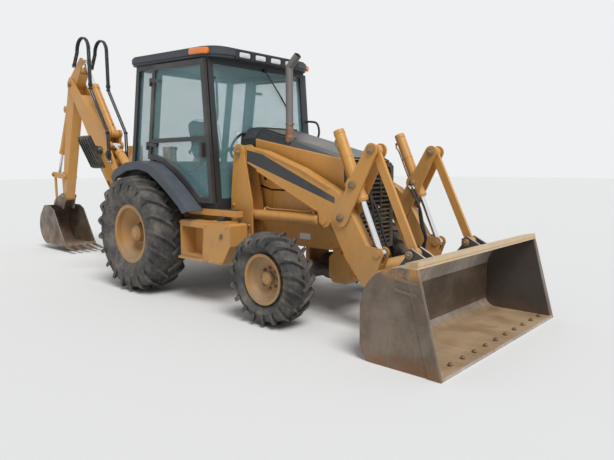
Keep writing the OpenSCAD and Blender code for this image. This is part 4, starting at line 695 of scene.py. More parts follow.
class MACHINE_OT_studio(bpy.types.Operator):
    """Adds the floor, the soft light and the camera at the photograph's angle"""

    bl_idname = "machine.studio"
    bl_label = "Studio"

    def execute(self, context):
        scene, looks = context.scene, context.scene.loader_studio
        scene.view_settings.view_transform = "Standard"
        self.floor(scene)
        self.sky(scene, looks.sky)
        key = bpy.data.lights.new("key", "SUN")
        key.energy, key.angle = looks.sun, 0.5
        lamp = bpy.data.objects.new("key", key)
        lamp.rotation_euler = (math.radians(15), math.radians(34), 0)
        scene.collection.objects.link(lamp)
        camera = bpy.data.cameras.new("camera")
        camera.lens, camera.sensor_width = looks.lens, 36
        eye = bpy.data.objects.new("camera", camera)
        eye.matrix_world = Matrix(self.place().tolist())
        scene.collection.objects.link(eye)
        scene.camera = eye
        return {"FINISHED"}

    def floor(self, scene):
        """A plain pale floor, just under the tyres."""
        size, level = 60, -0.001
        floor = bpy.data.materials.new("studio_floor")
        floor.use_nodes = True
        sockets = floor.node_tree.nodes["Principled BSDF"].inputs
        sockets["Base Color"].default_value = (0.74, 0.74, 0.73, 1)
        sockets["Roughness"].default_value = 0.9
        mesh = bpy.data.meshes.new("studio_floor")
        corners = [(x * size, y * size, level) for x, y in ((-1, -1), (1, -1), (1, 1), (-1, 1))]
        mesh.from_pydata(corners, [], [(0, 1, 2, 3)])
        mesh.materials.append(floor)
        ground = bpy.data.objects.new("studio_floor", mesh)
        scene.collection.objects.link(ground)

    def sky(self, scene, strength):
        """The world: an even fill on the object, and a pale backdrop where a straight, glossy or clear ray ends."""
        world = scene.world = bpy.data.worlds.new("studio")
        world.use_nodes = True
        net = Net(world.node_tree)
        net.tree.nodes.remove(net.tree.nodes["Background"])
        fill = net.node("Background", values={"Color": (0.93, 0.97, 1.0), "Strength": strength})
        back = net.node("Background", values={"Color": (0.86, 0.87, 0.88), "Strength": 1.0})
        rays = [net.node("LightPath", out=f"Is {kind} Ray") for kind in ("Camera", "Glossy", "Transmission")]
        choose = net.node("MixShader", values={0: rays[0].high(rays[1]).high(rays[2]), 1: fill, 2: back})
        net.tree.links.new(choose.value, net.tree.nodes["World Output"].inputs[0])

    def place(self):
        """The camera's matrix: its right is made square to the way it looks, and its up square to both."""
        ahead, right = np.array(CAMERA_AHEAD), np.array(CAMERA_RIGHT)
        right -= ahead * (right @ ahead)
        ahead, right = ahead / np.linalg.norm(ahead), right / np.linalg.norm(right)
        matrix = np.eye(4)
        matrix[:3] = np.stack([right, np.cross(right, ahead), -ahead, at(*CAMERA_PLACE)], -1)
        return matrix


class MACHINE_OT_finishes(bpy.types.Operator):
    """Gives every CAD part its finish"""

    bl_idname = "machine.finishes"
    bl_label = "Finishes"

    # CAD nodes whose finish isn't the one that their slot names
    special = {"loader_arms": "arms", "hood": "hood", "cab_frame": "cab", "loader_bucket": "bucket"}
    special |= {f"{end}_rim_{side}": "rim" for end in ("front", "rear") for side in ("left", "right")}

    def execute(self, context):
        make_finishes(context.scene.loader_looks)
        slots = {s["node"]: s["material_slot"] for s in frame["record"]["subparts"]}
        for name, made in NODES.items():
            finish = FINISHES[self.special.get(name, slots[name])]
            made.data.materials.clear()
            made.data.materials.append(finish)
        return {"FINISHED"}


class MACHINE_OT_tyres(bpy.types.Operator):
    """Makes the four tyres with their leaning tread bars"""

    bl_idname = "machine.tyres"
    bl_label = "Tyres"

    def execute(self, context):
        # name, axle, y, radius, width, rim's radius, bars on a side, their depth, width and drop past the shoulder
        table = (
            ("rear", REAR_AXLE, 0.835, 0.655, 0.45, 0.306, 20, 0.042, 0.052, 0.075),
            ("front", FRONT_AXLE, 0.84, 0.42, 0.31, 0.216, 18, 0.03, 0.046, 0.05),
        )
        for side, sign in SIDES:
            for name, axle, y, *sizes in table:
                tyre(f"tyre_{name}_{side}", f"{name}_wheel_{side}", f"{name}_tyre_{side}", axle, sign * y, *sizes)
        return {"FINISHED"}


class MACHINE_OT_wheels(bpy.types.Operator):
    """Nuts and studs on the rims' discs, and the hubs' caps with their bolts"""

    bl_idname = "machine.wheels"
    bl_label = "Wheel nuts and hubs"

    def execute(self, context):
        # name, axle, y of the disc's face, circle of nuts, their width, y of the hub's end, radius of its cap
        table = (
            ("rear", REAR_AXLE, 0.797, 0.13, 0.032, 0.933, 0.07),
            ("front", FRONT_AXLE, 0.848, 0.092, 0.026, 0.896, 0.06),
        )
        turn, bolts = np.radians(np.arange(0, 360, 45)), np.radians(np.arange(30, 390, 60))
        for name, (x, z), face, circle, across, end, cap in table:
            lid = [(0, -0.002), (cap * 0.82, -0.002), (cap * 0.82, 0.004), (cap * 0.74, 0.01), (cap * 0.5, 0.012),
                   (cap * 0.46, 0.009), (cap * 0.2, 0.009), (cap * 0.18, 0.014), (0, 0.015)]
            reach = cap * 0.64  # of the cap's bolts from its middle
            for side, sign in SIDES:
                out, body = (0, sign, 0), f"{name}_wheel_{side}"
                ring = np.stack([x + circle * np.cos(turn), np.full(8, sign * face), z + circle * np.sin(turn)], -1)
                studs = [drum(c, out, across * 0.26, 0.018, 0.034, 0.002, 12) for c in ring]
                nuts = joined([hex_heads(ring, out, across, 0.02), *studs])
                piece(f"nuts_{name}_{side}", nuts, "rusty", body, 30)
                heads = [(x + reach * math.cos(a), sign * (end + 0.009), z + reach * math.sin(a)) for a in bolts]
                cover = joined([turned(lid, (x, sign * end, z), out, 40), hex_heads(heads, out, 0.011, 0.005)])
                piece(f"hub_cap_{name}_{side}", cover, "paint", body, 30)
        return {"FINISHED"}


class MACHINE_OT_pins(bpy.types.Operator):
    """The ends of the pins, with keepers and grease fittings"""

    bl_idname = "machine.pins"
    bl_label = "Pin ends"

    def execute(self, context):
        # name, body, x, z, distance of the ends from the loader arm's middle plane, way of the keeper if it has one
        loader = (
            ("arm_pivot", "chassis", 1.375, 1.55, 0.09, -90),
            ("lift_foot", "chassis", *LIFT_FOOT, 0.09, -90),
            ("bucket_pivot", "loader_arms", 3.12, 0.33, 0.092, 120),
            ("lever_pivot", "loader_arms", 2.68, 0.965, 0.086, None),
            ("lever_top", "tilt_levers", 2.99, 1.53, 0.084, None),
            ("trunnion", "tilt_barrels", *TRUNNION, 0.084, None),
            ("bucket_ear", "loader_bucket", 3.372, 0.722, 0.086, None),
        )
        radius = 0.025
        for name, body, x, z, reach, way in loader:
            ends = []
            for sign in (-1, 1):
                place, out = at(x, ARM_Y + sign * reach, z), (0, sign, 0)
                ends.append(pin_end(place, out, radius))
                if way is not None:
                    along = (math.cos(math.radians(way)), 0, math.sin(math.radians(way)))
                    ends.append(keeper(place, out, along, radius))
            piece(f"pin_ends_{name}", both_sides(joined(ends)), "worn_pin", body, 30)
        # name, body, x, z, reach from the middle, radius
        hoe = (
            ("boom_foot", "swing_tower", *BOOM_FOOT, 0.153, 0.028),
            ("boom_cylinder_foot", "swing_tower", *BOOM_CYLINDER[0], 0.147, 0.022),
            ("crowd_foot", "boom", *CROWD_CYLINDER[0], 0.117, 0.022),
            ("boom_cylinder_eye", "boom", *BOOM_CYLINDER[1], 0.107, 0.024),
            ("dipper_joint", "boom", *BOOM_JOINT, 0.119, 0.028),
            ("dipper_tip", "dipper", -3.735, 0.905, 0.112, 0.022),
            ("guide_top", "guide_links", -4.065, 1.275, 0.11, 0.022),
            ("bucket_curl", "hoe_bucket", -4.055, 0.8, 0.098, 0.024),
        )
        for name, body, x, z, reach, radius in hoe:
            ends = both_sides(pin_end(at(x, reach, z), (0, 1, 0), radius))
            piece(f"pin_ends_{name}", ends, "worn_pin", body, 30)
        return {"FINISHED"}


def on_boom(along, up):
    """A place on the hoe's boom: along its line from the foot to the dipper's joint, and up from it."""
    foot, joint = np.array(BOOM_FOOT), np.array(BOOM_JOINT)
    u = (joint - foot) / np.linalg.norm(joint - foot)
    return tuple(foot + along * u + up * np.array((u[1], -u[0])))


# feet and eyes of the boom's and the dipper's cylinders
BOOM_CYLINDER = (-1.48, 1.18), on_boom(1.01, 0.235)
CROWD_CYLINDER = on_boom(1.16, 0.33), (-2.9, 3.03)


def cylinder_trim(foot, eye, y, radius, first, last, side, ported=True):
    """On a hydraulic barrel from foot towards eye: a gland nut at its end, a weld at its head, two ports with fittings
    and a steel line between them on one side. Side is +1 for the left of the way from foot to eye."""
    foot, eye = np.asarray(foot, float), np.asarray(eye, float)
    u = (eye - foot) / np.linalg.norm(eye - foot)
    n = np.array((-u[1], u[0])) * side
    axis, out = np.array((u[0], 0, u[1])), np.array((n[0], 0, n[1]))

    def place(s, up=0.0):
        q = foot + s * u + up * n
        return at(q[0], y, q[1])

    r, inside = radius, radius - 0.004  # the barrel's face, and where a ring's back is hidden in it
    gland = [(inside, -0.001), (r + 0.006, 0), (r + 0.006, 0.03), (r + 0.002, 0.034), (r + 0.002, 0.04),
             (inside, 0.041)]
    weld = [(inside, -0.005), (r + 0.003, 0), (r + 0.003, 0.004), (inside, 0.009)]
    parts = [turned(gland, place(last - 0.04), axis, 32), turned(weld, place(first + 0.03), axis, 32)]
    if ported:
        a, b = first + 0.07, last - 0.075
        for s in (a, b):
            parts.append(drum(place(s, r - 0.006), out, 0.016, 0, 0.018, 0.003, 16))
            parts.append(hex_heads([place(s, r + 0.01)], out, 0.026, 0.014))
        off = r + 0.018  # the line's distance from the barrel's middle
        line = ((a, off + 0.004), (a + 0.035, off + 0.012), (a + 0.08, off), ((a + b) / 2, off),
                (b - 0.08, off), (b - 0.035, off + 0.012), (b, off + 0.004))
        parts.append(line_tube(0.0065, *[place(s, up) for s, up in line], count=60))
        strap = [(r - 0.003, -0.008), (r + 0.0025, -0.008), (r + 0.0025, 0.008), (r - 0.003, 0.008)]
        parts += [turned(strap, place(a + (b - a) * share), axis, 32) for share in (0.35, 0.7)]
    return joined(parts)


class MACHINE_OT_cylinders(bpy.types.Operator):
    """Gland nuts, ports and steel lines on the hydraulic cylinders"""

    bl_idname = "machine.cylinders"
    bl_label = "Cylinder trim"

    def execute(self, context):
        tilt = np.subtract(TILT_EYE, TRUNNION)
        tilt_head = TRUNNION - 0.505 * (tilt / np.linalg.norm(tilt))  # the barrel's head, behind its trunnion
        boom, crowd = math.dist(*BOOM_CYLINDER), math.dist(*CROWD_CYLINDER)
        # name, body, foot, eye, y, radius, start and end of the barrel from its foot, side of its ports if it has any
        table = (
            ("lift", "lift_barrels", LIFT_FOOT, LIFT_EYE, ARM_Y, 0.05, 0.2, 0.992, 1),
            ("tilt", "tilt_barrels", tilt_head, TILT_EYE, ARM_Y, TILT_R, 0.0, 0.645, -1),
            ("boom", "boom_barrel", *BOOM_CYLINDER, 0, 0.06, 0.06, boom - 0.15, 1, False),
            ("crowd", "crowd_barrel", *CROWD_CYLINDER, 0, 0.056, 0.06, crowd - 0.48, -1),
        )
        for name, body, foot, eye, y, *sizes in table:
            trim = cylinder_trim(foot, eye, y, *sizes)
            piece(f"{name}_cylinder_trim", both_sides(trim) if y else trim, "paint", body, 35)
        return {"FINISHED"}


def tilt_hoses(side, sign):
    """Two hoses from a tilt cylinder's head to the torque tube, with their nuts: smooth curves through seven places,
    the inner one bulging further forward."""
    top, low = (2.83, 1.2), (2.965, 0.61)
    for k, (inward, bulge) in enumerate(((0.098, 0.0), (0.128, 0.03))):
        y, start = ARM_Y - inward, top[0] - 0.02 * k
        corners = (
            (start, y, top[1]), (2.87, y, 1.13 - 0.02 * k), (2.9 + bulge, y - 0.004, 1.0),
            (2.925 + bulge * 1.4, y - 0.01, 0.86), (2.975 + bulge, y - 0.015, 0.74),
            (low[0] + 0.012, y - 0.02, 0.67), (low[0], y - 0.02, 0.6),
        )
        path = bow(*[at(x, sign * across, z) for x, across, z in corners], count=70)
        made = piece(f"tilt_hose_{side}_{k}", tube(path, HOSE_R), "hose", None, 50)
        tuple(at(2.82, sign * y, 1.19))
        tuple(at(2.96, sign * y, 0.62))
        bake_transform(made)
        nut = fitting(at(low[0], sign * (y - 0.02), 0.603), (0, 0, 1), HOSE_R)
        piece(f"tilt_hose_nut_{side}_{k}", nut, "nut", "loader_arms", 35)
        head = fitting(at(start - 0.012, sign * y, top[1] + 0.012), (0.6, 0, -0.8), HOSE_R)
        piece(f"tilt_hose_head_{side}_{k}", head, "nut", "tilt_levers", 35)


def arm_lines(side, sign):
    """Two steel lines on an arm's inner face, from its pivot to the torque tube, in four clamps."""
    face = ARM_Y - ARM_HALF
    run = ((1.46, 1.49), (1.58, 1.475), (1.75, 1.44), (2.18, 1.26), (2.52, 1.06), (2.7, 0.84), (2.86, 0.64),
           (2.93, 0.585))
    held = ((1.7, 1.43), (2.1, 1.275), (2.45, 1.09), (2.72, 0.79))
    parts = []
    for drop in (0.0, 0.026):
        parts.append(line_tube(0.0075, *[at(x, sign * (face - 0.009), z - drop) for x, z in run], count=90))
    parts += [clamp(at(x, sign * face, z), sign) for x, z in held]
    piece(f"arm_lines_{side}", joined(parts), "hose", "loader_arms", 40)


class MACHINE_OT_loader(bpy.types.Operator):
    """Hoses and steel lines of the loader, the bolts of the bucket's edge and the plate on the frame"""

    bl_idname = "machine.loader"
    bl_label = "Loader lines and bolts"

    def execute(self, context):
        up = (0, 0, 1)
        heads = [at(3.845, y, 0.024) for y in np.linspace(-0.94, 0.94, 11)]
        dome = [(0, 0), (0.015, 0.002), (0.014, 0.01), (0.008, 0.013), (0, 0.0135)]
        bolts = [drum(c, up, 0.02, -0.001, 0.003, 0.001, 20) for c in heads] + [turned(dome, c, up, 16) for c in heads]
        piece("edge_bolts", joined(bolts), "rusty", "loader_bucket", 30)
        for side, sign in SIDES:
            tilt_hoses(side, sign)
            arm_lines(side, sign)
        # a blank plate on each side of the frame
        plates = [block(at(2.02, a, 0.712), at(2.16, b, 0.77)) for a, b in ((-0.3475, -0.345), (0.345, 0.3475))]
        piece("blank_plate", joined(plates), "label", "chassis", 30, 0.0008)
        return {"FINISHED"}


def clamp(place, sign):
    """A clamp that holds two lines to a plate: a soft-edged block with its bolt."""
    x, y, z = place
    face = y - sign * 0.02
    low, high = (x - 0.018, min(y, face), z - 0.042), (x + 0.018, max(y, face), z + 0.016)
    bolt = drum((x, face, z - 0.013), (0, -sign, 0), 0.008, 0, 0.006, 0.002, 12)
    return joined([soft_block(low, high, 0.006), bolt])


def soft_block(low, high, edge):
    """A box whose four upright edges are round and whose rims are eased: a rounded outline at four heights, closed
    below and above by a point in its middle."""
    low, high = np.asarray(low, float), np.asarray(high, float)
    count, ease = 24, edge * 0.4
    turn = (np.arange(count) + 0.5) * 2 * np.pi / count
    ring = np.stack([np.cos(turn), np.sin(turn)], -1)
    half, middle = (high - low)[:2] / 2, (low + high)[:2] / 2

    def outline(inwards):
        return np.sign(ring) * np.maximum(half - edge, 0) + ring * max(edge - inwards, 0.0) + middle

    heights = (low[2], low[2], low[2] + ease, high[2] - ease, high[2], high[2])
    rings = (ring * 0 + middle, outline(ease), outline(0), outline(0), outline(ease), ring * 0 + middle)
    rows = [np.column_stack([flat, np.full(count, z)]) for flat, z in zip(rings, heights)]
    return skin(np.array(rows), close_v=True)


def oval(half_u, half_v, corner, count):
    """Points (u, v) of a superellipse: |u / half_u| and |v / half_v|, each to the power corner, add up to 1."""
    turn = np.linspace(0, 2 * np.pi, count, endpoint=False)
    c, s = np.cos(turn), np.sin(turn)
    return half_u * (np.sign(c) * np.abs(c) ** (2 / corner)), half_v * (np.sign(s) * np.abs(s) ** (2 / corner))


def rounded(centre, u, v, half_u, half_v, rows, corner, count=64):
    """A form on a rounded rectangle: the outline is a superellipse across u and v, and each row gives its share of the
    outline and its height along u x v, from the back to the front."""
    a, b = oval(half_u, half_v, corner, count)
    u, v, rows = (np.asarray(given, float) for given in (u, v, rows))
    ring = a[:, None] * u + b[:, None] * v
    share, height = rows[:, 0, None, None], rows[:, 1, None, None]
    return skin(np.asarray(centre, float) + share * ring + height * np.cross(u, v), close_v=True)


def corner_lens(start, end):
    """Lens round the roof's front corner. A section (out, up) runs a length s along the roof's edge: straight before
    0, then round a circle of the corner's radius r, where a point is centre + (r + out)(sin(s/r), cos(s/r)). At both
    ends the section shrinks with the square root of the way left."""
    run = np.linspace(start, end, 46)[:, None]
    section = ((-0.003, 0.03), (0.028, 0.03), (0.0345, 0.025), (0.038, 0), (0.0345, -0.025), (0.028, -0.03),
               (-0.003, -0.03))
    out, up = np.array(section).T
    share = np.clip(np.minimum(run - start, end - run) / 0.012, 0, 1) ** 0.5
    turn, reach = np.maximum(run, 0) / ROOF_CORNER, ROOF_CORNER + out * share
    x = CORNER_X + np.minimum(run, 0) + reach * np.sin(turn)
    return skin(np.moveaxis(on_roof(x, CORNER_Y + reach * np.cos(turn), 0.052 + up * share), 0, -1), close_v=True)


def slanted(low, high, z):
    """X of the post from low to high, both (x, z), at a height."""
    return low[0] + (high[0] - low[0]) * (z - low[1]) / (high[1] - low[1])


def inset(outline, depth):
    """An outline of (x, z), counter-clockwise, moved inwards: each corner goes along its two edges' normals."""
    p = np.asarray(outline, float)
    e = np.roll(p, -1, 0) - p
    e /= np.linalg.norm(e, axis=1, keepdims=True)
    after = np.stack([-e[:, 1], e[:, 0]], -1)
    before = np.roll(after, 1, 0)
    return p + (before + after) * depth / (1 + (before * after).sum(1, keepdims=True))


# feet and tops of the cab's posts, from front to rear, and the width of a post
A_POST = ((1.215, 1.01), (1.105, 2.49))
B_POST = ((0.06, 1.47), (0.23, roof_line(0.23)))
C_POST = ((-0.4, 1.47), (-0.215, roof_line(-0.151)))
PILLAR = 0.064
DOOR_Y, QUARTER_Y = 0.7245, 0.6725  # outer faces of the door's glass and of the quarter pane
PANE_SILL, PANE_DROP = 1.476, 0.066  # height of the rear panes' foot, and their distance below the roof
SCREEN_LOW, SCREEN_HIGH, SCREEN_HALF = 1.766, 2.424, 0.63  # the windscreen's foot, top and half width


def door_outline():
    """The door's edge, as the drawing makes it: two posts, the roof's line and the fender's curve, which runs a gap of
    0.018 outside the fender's points as seen from the rear axle."""
    fender = np.array([(0.121, 1.47), (0.33, 1.428), (0.54, 1.318), (0.74, 1.184)])
    spoke = fender - (0, REAR_AXLE[1])
    fender = fender + 0.018 * spoke / np.linalg.norm(spoke, axis=1, keepdims=True)
    foot, top = 1.035, 2.47
    return np.array([
        (slanted(*A_POST, foot) - 0.012, foot), (slanted(*A_POST, top) - 0.012, top), (0.19, roof_line(0.23) - 0.022),
        (slanted(*B_POST, 1.492) - 0.036, 1.492), *fender, (0.96, foot),
    ])


def pane_seals():
    """Beads round the fixed panes: the windscreen, the rear pane and the two quarter panes."""
    low, high, half = SCREEN_LOW, SCREEN_HIGH, SCREEN_HALF
    screen = [(slanted(*A_POST, z) - 0.021, y, z) for y, z in ((-half, low), (half, low), (half, high), (-half, high))]
    top_b, top_c = roof_line(0.166) - PANE_DROP, roof_line(-0.151) - PANE_DROP
    rear_corners = ((-half, PANE_SILL), (-half, top_c), (half, top_c), (half, PANE_SILL))
    rear = [(slanted(*C_POST, z) + 0.017, y, z) for y, z in rear_corners]
    quarter = [
        (slanted(*C_POST, PANE_SILL) + PILLAR + 0.006, QUARTER_Y, PANE_SILL),
        (slanted(*B_POST, PANE_SILL) - PILLAR - 0.006, QUARTER_Y, PANE_SILL),
        (slanted(*B_POST, top_b) - PILLAR - 0.006, QUARTER_Y, top_b),
        (slanted(*C_POST, top_c) + PILLAR + 0.006, QUARTER_Y, top_c),
    ]
    screen, rear, quarter = (bead(dense([at(*q) for q in line]), 0.006) for line in (screen, rear, quarter))
    return joined([screen, rear, both_sides(quarter)])


def wiper():
    """The windscreen's wiper: its pivot, and its arm and blade as tubes that bow off the glass."""
    def on_screen(y, z, out):
        return at(slanted(*A_POST, z) - 0.024 + out, y, z)

    pivot, tip = (0.06, 2.44), (0.36, 2.11)
    arm_run = ((*pivot, 0.04), (0.12, 2.37, 0.04), (0.28, 2.2, 0.032), (*tip, 0.02))
    blade_run = ((0.22, 2.3, 0.012), (*tip, 0.016), (0.49, 1.93, 0.012))
    arm = line_tube(0.006, *[on_screen(*q) for q in arm_run], count=30)
    blade = line_tube(0.0075, *[on_screen(*q) for q in blade_run], count=30)
    return joined([arm, blade, drum(on_screen(*pivot, 0.02), (1, 0, 0), 0.022, 0, 0.03, 0.004, 24)])


class MACHINE_OT_cab(bpy.types.Operator):
    """Lamp glasses, flashers, window seals, wiper, handles, the mirror in the cab and the tail lamps"""

    bl_idname = "machine.cab"
    bl_label = "Cab trim"

    def execute(self, context):
        ahead, left, up = on_roof(1.205, 0, 0) - on_roof(0.205, 0, 0), (0, 1, 0), (0, 0, 1)
        above = np.cross(ahead, left)
        lens = ((0, -0.006), (1, -0.006), (1, 0.003), (0.95, 0.009), (0.7, 0.013), (0, 0.015))
        rim = ((0.92, -0.002), (1, -0.002), (1, 0.005), (0.97, 0.0085), (0.92, 0.0085), (0.92, -0.002))
        # name, finish, x, half width, half height, rows
        for name, finish, x, half_u, half_v, rows in (
            ("glass", "clear", 1.238, 0.074, 0.026, lens), ("rims", "seal", 1.2385, 0.08, 0.0295, rim),
        ):
            places = [on_roof(x, y, 0.046) for y in (-0.33, -0.11, 0.11, 0.33)]
            lamps = joined([rounded(place, left, above, half_u, half_v, rows, 7) for place in places])
            piece(f"work_lamp_{name}", lamps, finish, "chassis", 30)
        piece("side_flashers", both_sides(corner_lens(-0.107, 0.15)), "amber", "chassis", 30)
        edge = dense(np.insert(inset(door_outline(), 0.0565), 1, 0.0, axis=1))
        for side, sign in SIDES:
            line = edge + (SHIFT, DOOR_Y * sign, 0)
            piece(f"door_seal_{side}", bead(line[::sign], 0.0065), "seal", f"door_{side}", 50)
        piece("pane_seals", pane_seals(), "seal", "chassis", 50)
        piece("wiper", wiper(), "seal", "chassis", 40)
        grip = ((1.1, -0.62, 2.3), (1.05, -0.55, 2.27), (0.99, -0.5, 2.16), (0.97, -0.48, 2.0), (0.985, -0.5, 1.9),
                (1.03, -0.58, 1.84), (1.1, -0.63, 1.82))
        handle = line_tube(0.013, *[at(*q) for q in grip], count=60)
        stalk = line_tube(0.006, at(0.91, -0.565, 2.15), at(0.97, -0.61, 2.2), at(1.06, -0.66, 2.24), count=24)
        piece("inside_handle", joined([handle, stalk]), "interior", "chassis", 40)
        rows = ((0, -0.012), (0.8, -0.012), (1, -0.004), (1, 0.006), (0.94, 0.008), (0, 0.008))
        mirror = rounded(at(0.9, -0.56, 2.13), (0.25, 0.95, 0), up, 0.035, 0.075, rows, 5)
        piece("inside_mirror", mirror, "interior", "chassis", 40)
        # on the outside of the left post
        run = ((1.12, 0.69, 1.92), (1.2, 0.715, 1.925), (1.29, 0.73, 1.9), (1.325, 0.73, 1.8), (1.29, 0.725, 1.71),
               (1.21, 0.71, 1.68), (1.15, 0.69, 1.675))
        piece("grab_rail", line_tube(0.0125, *[at(*q) for q in run], count=70), "lamps", "chassis", 40)
        # on the cab's rear wall
        rows = ((0, -0.002), (1, -0.002), (1, 0.012), (0.92, 0.02), (0, 0.024))
        for name, finish, z in (("stop", "red", 1.4), ("turn", "amber", 1.29)):
            lamp = rounded(at(-0.4, 0.59, z), (0, -1, 0), up, 0.036, 0.05, rows, 5)
            piece(f"tail_lamp_{name}", both_sides(lamp), finish, "chassis", 30)
        return {"FINISHED"}


def padded_form(centre, u, v, half_u, half_v, thick):
    """A cushion before it swells: a rounded rectangle with eased rims and a faint crown. Its rows go in half
    thicknesses."""
    rows = ((0, -1), (0.5, -1), (0.86, -1), (0.95, -0.86), (0.99, -0.5), (1, 0), (0.99, 0.5), (0.95, 0.86), (0.86, 1),
            (0.5, 1.03), (0, 1.04))
    return rounded(centre, u, v, half_u, half_v, [(share, thick / 2 * height) for share, height in rows], 5, 72)


def swell(made, limit):
    """Inflates a cushion as cloth under pressure, and holds each point within a limit of its start."""
    finish = made.data.materials[0]
    remesh = made.modifiers.new("voxel", "REMESH")
    remesh.mode, remesh.voxel_size = "VOXEL", 0.006
    context = bpy.context
    fine = bpy.data.meshes.new_from_object(made.evaluated_get(context.evaluated_depsgraph_get()))
    made.modifiers.clear()
    made.data = fine
    start = np.empty(len(fine.vertices) * 3)
    fine.vertices.foreach_get("co", start)
    start = start.reshape(-1, 3)
    cloth = made.modifiers.new("cloth", "CLOTH")
    cloth.settings.use_pressure, cloth.settings.uniform_pressure_force = True, 4.0
    cloth.settings.effector_weights.gravity = 0.0
    cloth.settings.quality = 5
    for step in range(1, 21):
        context.scene.frame_set(step)
    puffed = bpy.data.meshes.new_from_object(made.evaluated_get(context.evaluated_depsgraph_get()))
    made.modifiers.clear()
    end = np.empty(len(puffed.vertices) * 3)
    puffed.vertices.foreach_get("co", end)
    move = end.reshape(-1, 3) - start
    far = np.linalg.norm(move, axis=1, keepdims=True)
    end = start + move * np.minimum(1.0, limit / np.maximum(far, 1e-9))
    fine.vertices.foreach_set("co", end.ravel())
    fine.materials.clear()
    fine.materials.append(finish)
    fine.update()
    fine.shade_smooth()
    context.scene.frame_set(1)


class MACHINE_OT_seat(bpy.types.Operator):
    """The seat's cushion and backrest, padded and swollen, with piping and armrests"""

    bl_idname = "machine.seat"
    bl_label = "Seat"

    def execute(self, context):
        lean = math.radians(12)
        up = np.array((-math.sin(lean), 0, math.cos(lean)))
        front = np.array((math.cos(lean), 0, math.sin(lean)))
        ahead, left = np.array((1.0, 0, 0)), np.array((0, 1.0, 0))
        middle = at(0.18, 0, 1.44) + up * 0.29  # of the backrest
        cushion = padded_form(at(0.41, 0, 1.397), ahead, left, 0.215, 0.222, 0.082)
        back = padded_form(middle - front * 0.01, left, up, 0.222, 0.25, 0.075)
        for name, part in (("seat_cushion", cushion), ("seat_backrest", back)):
            made = piece(name, part, "cushion", "chassis", 60, replaces=("seat_cushions",))
            swell(made, 0.022)
            soft = made.modifiers.new("smooth", "SUBSURF")
            soft.levels = soft.render_levels = 1
        piping = []
        for centre, u, v, half_u, half_v in (
            (at(0.41, 0, 1.4425), ahead, left, 0.205, 0.212), (middle + front * 0.032, left, up, 0.212, 0.24),
        ):
            a, b = oval(half_u, half_v, 5, 96)
            piping.append(bead(centre + a[:, None] * u + b[:, None] * v, 0.004))
        piece("seat_piping", joined(piping), "seal", "chassis", 60)
        rows = ((0, -0.02), (0.92, -0.02), (1, -0.008), (1, 0.006), (0.9, 0.018), (0, 0.02))
        run = ((0.13, 0.235, 1.56), (0.16, 0.27, 1.58), (0.24, 0.275, 1.6), (0.34, 0.275, 1.605))
        rests = []
        for sign in (-1, 1):
            rests.append(rounded(at(0.36, sign * 0.275, 1.62), ahead, left, 0.15, 0.032, rows, 3.5))
            rests.append(line_tube(0.012, *[at(x, sign * y, z) for x, y, z in run], count=24))
        piece("seat_armrests", joined(rests), "interior", "chassis", 50)
        return {"FINISHED"}


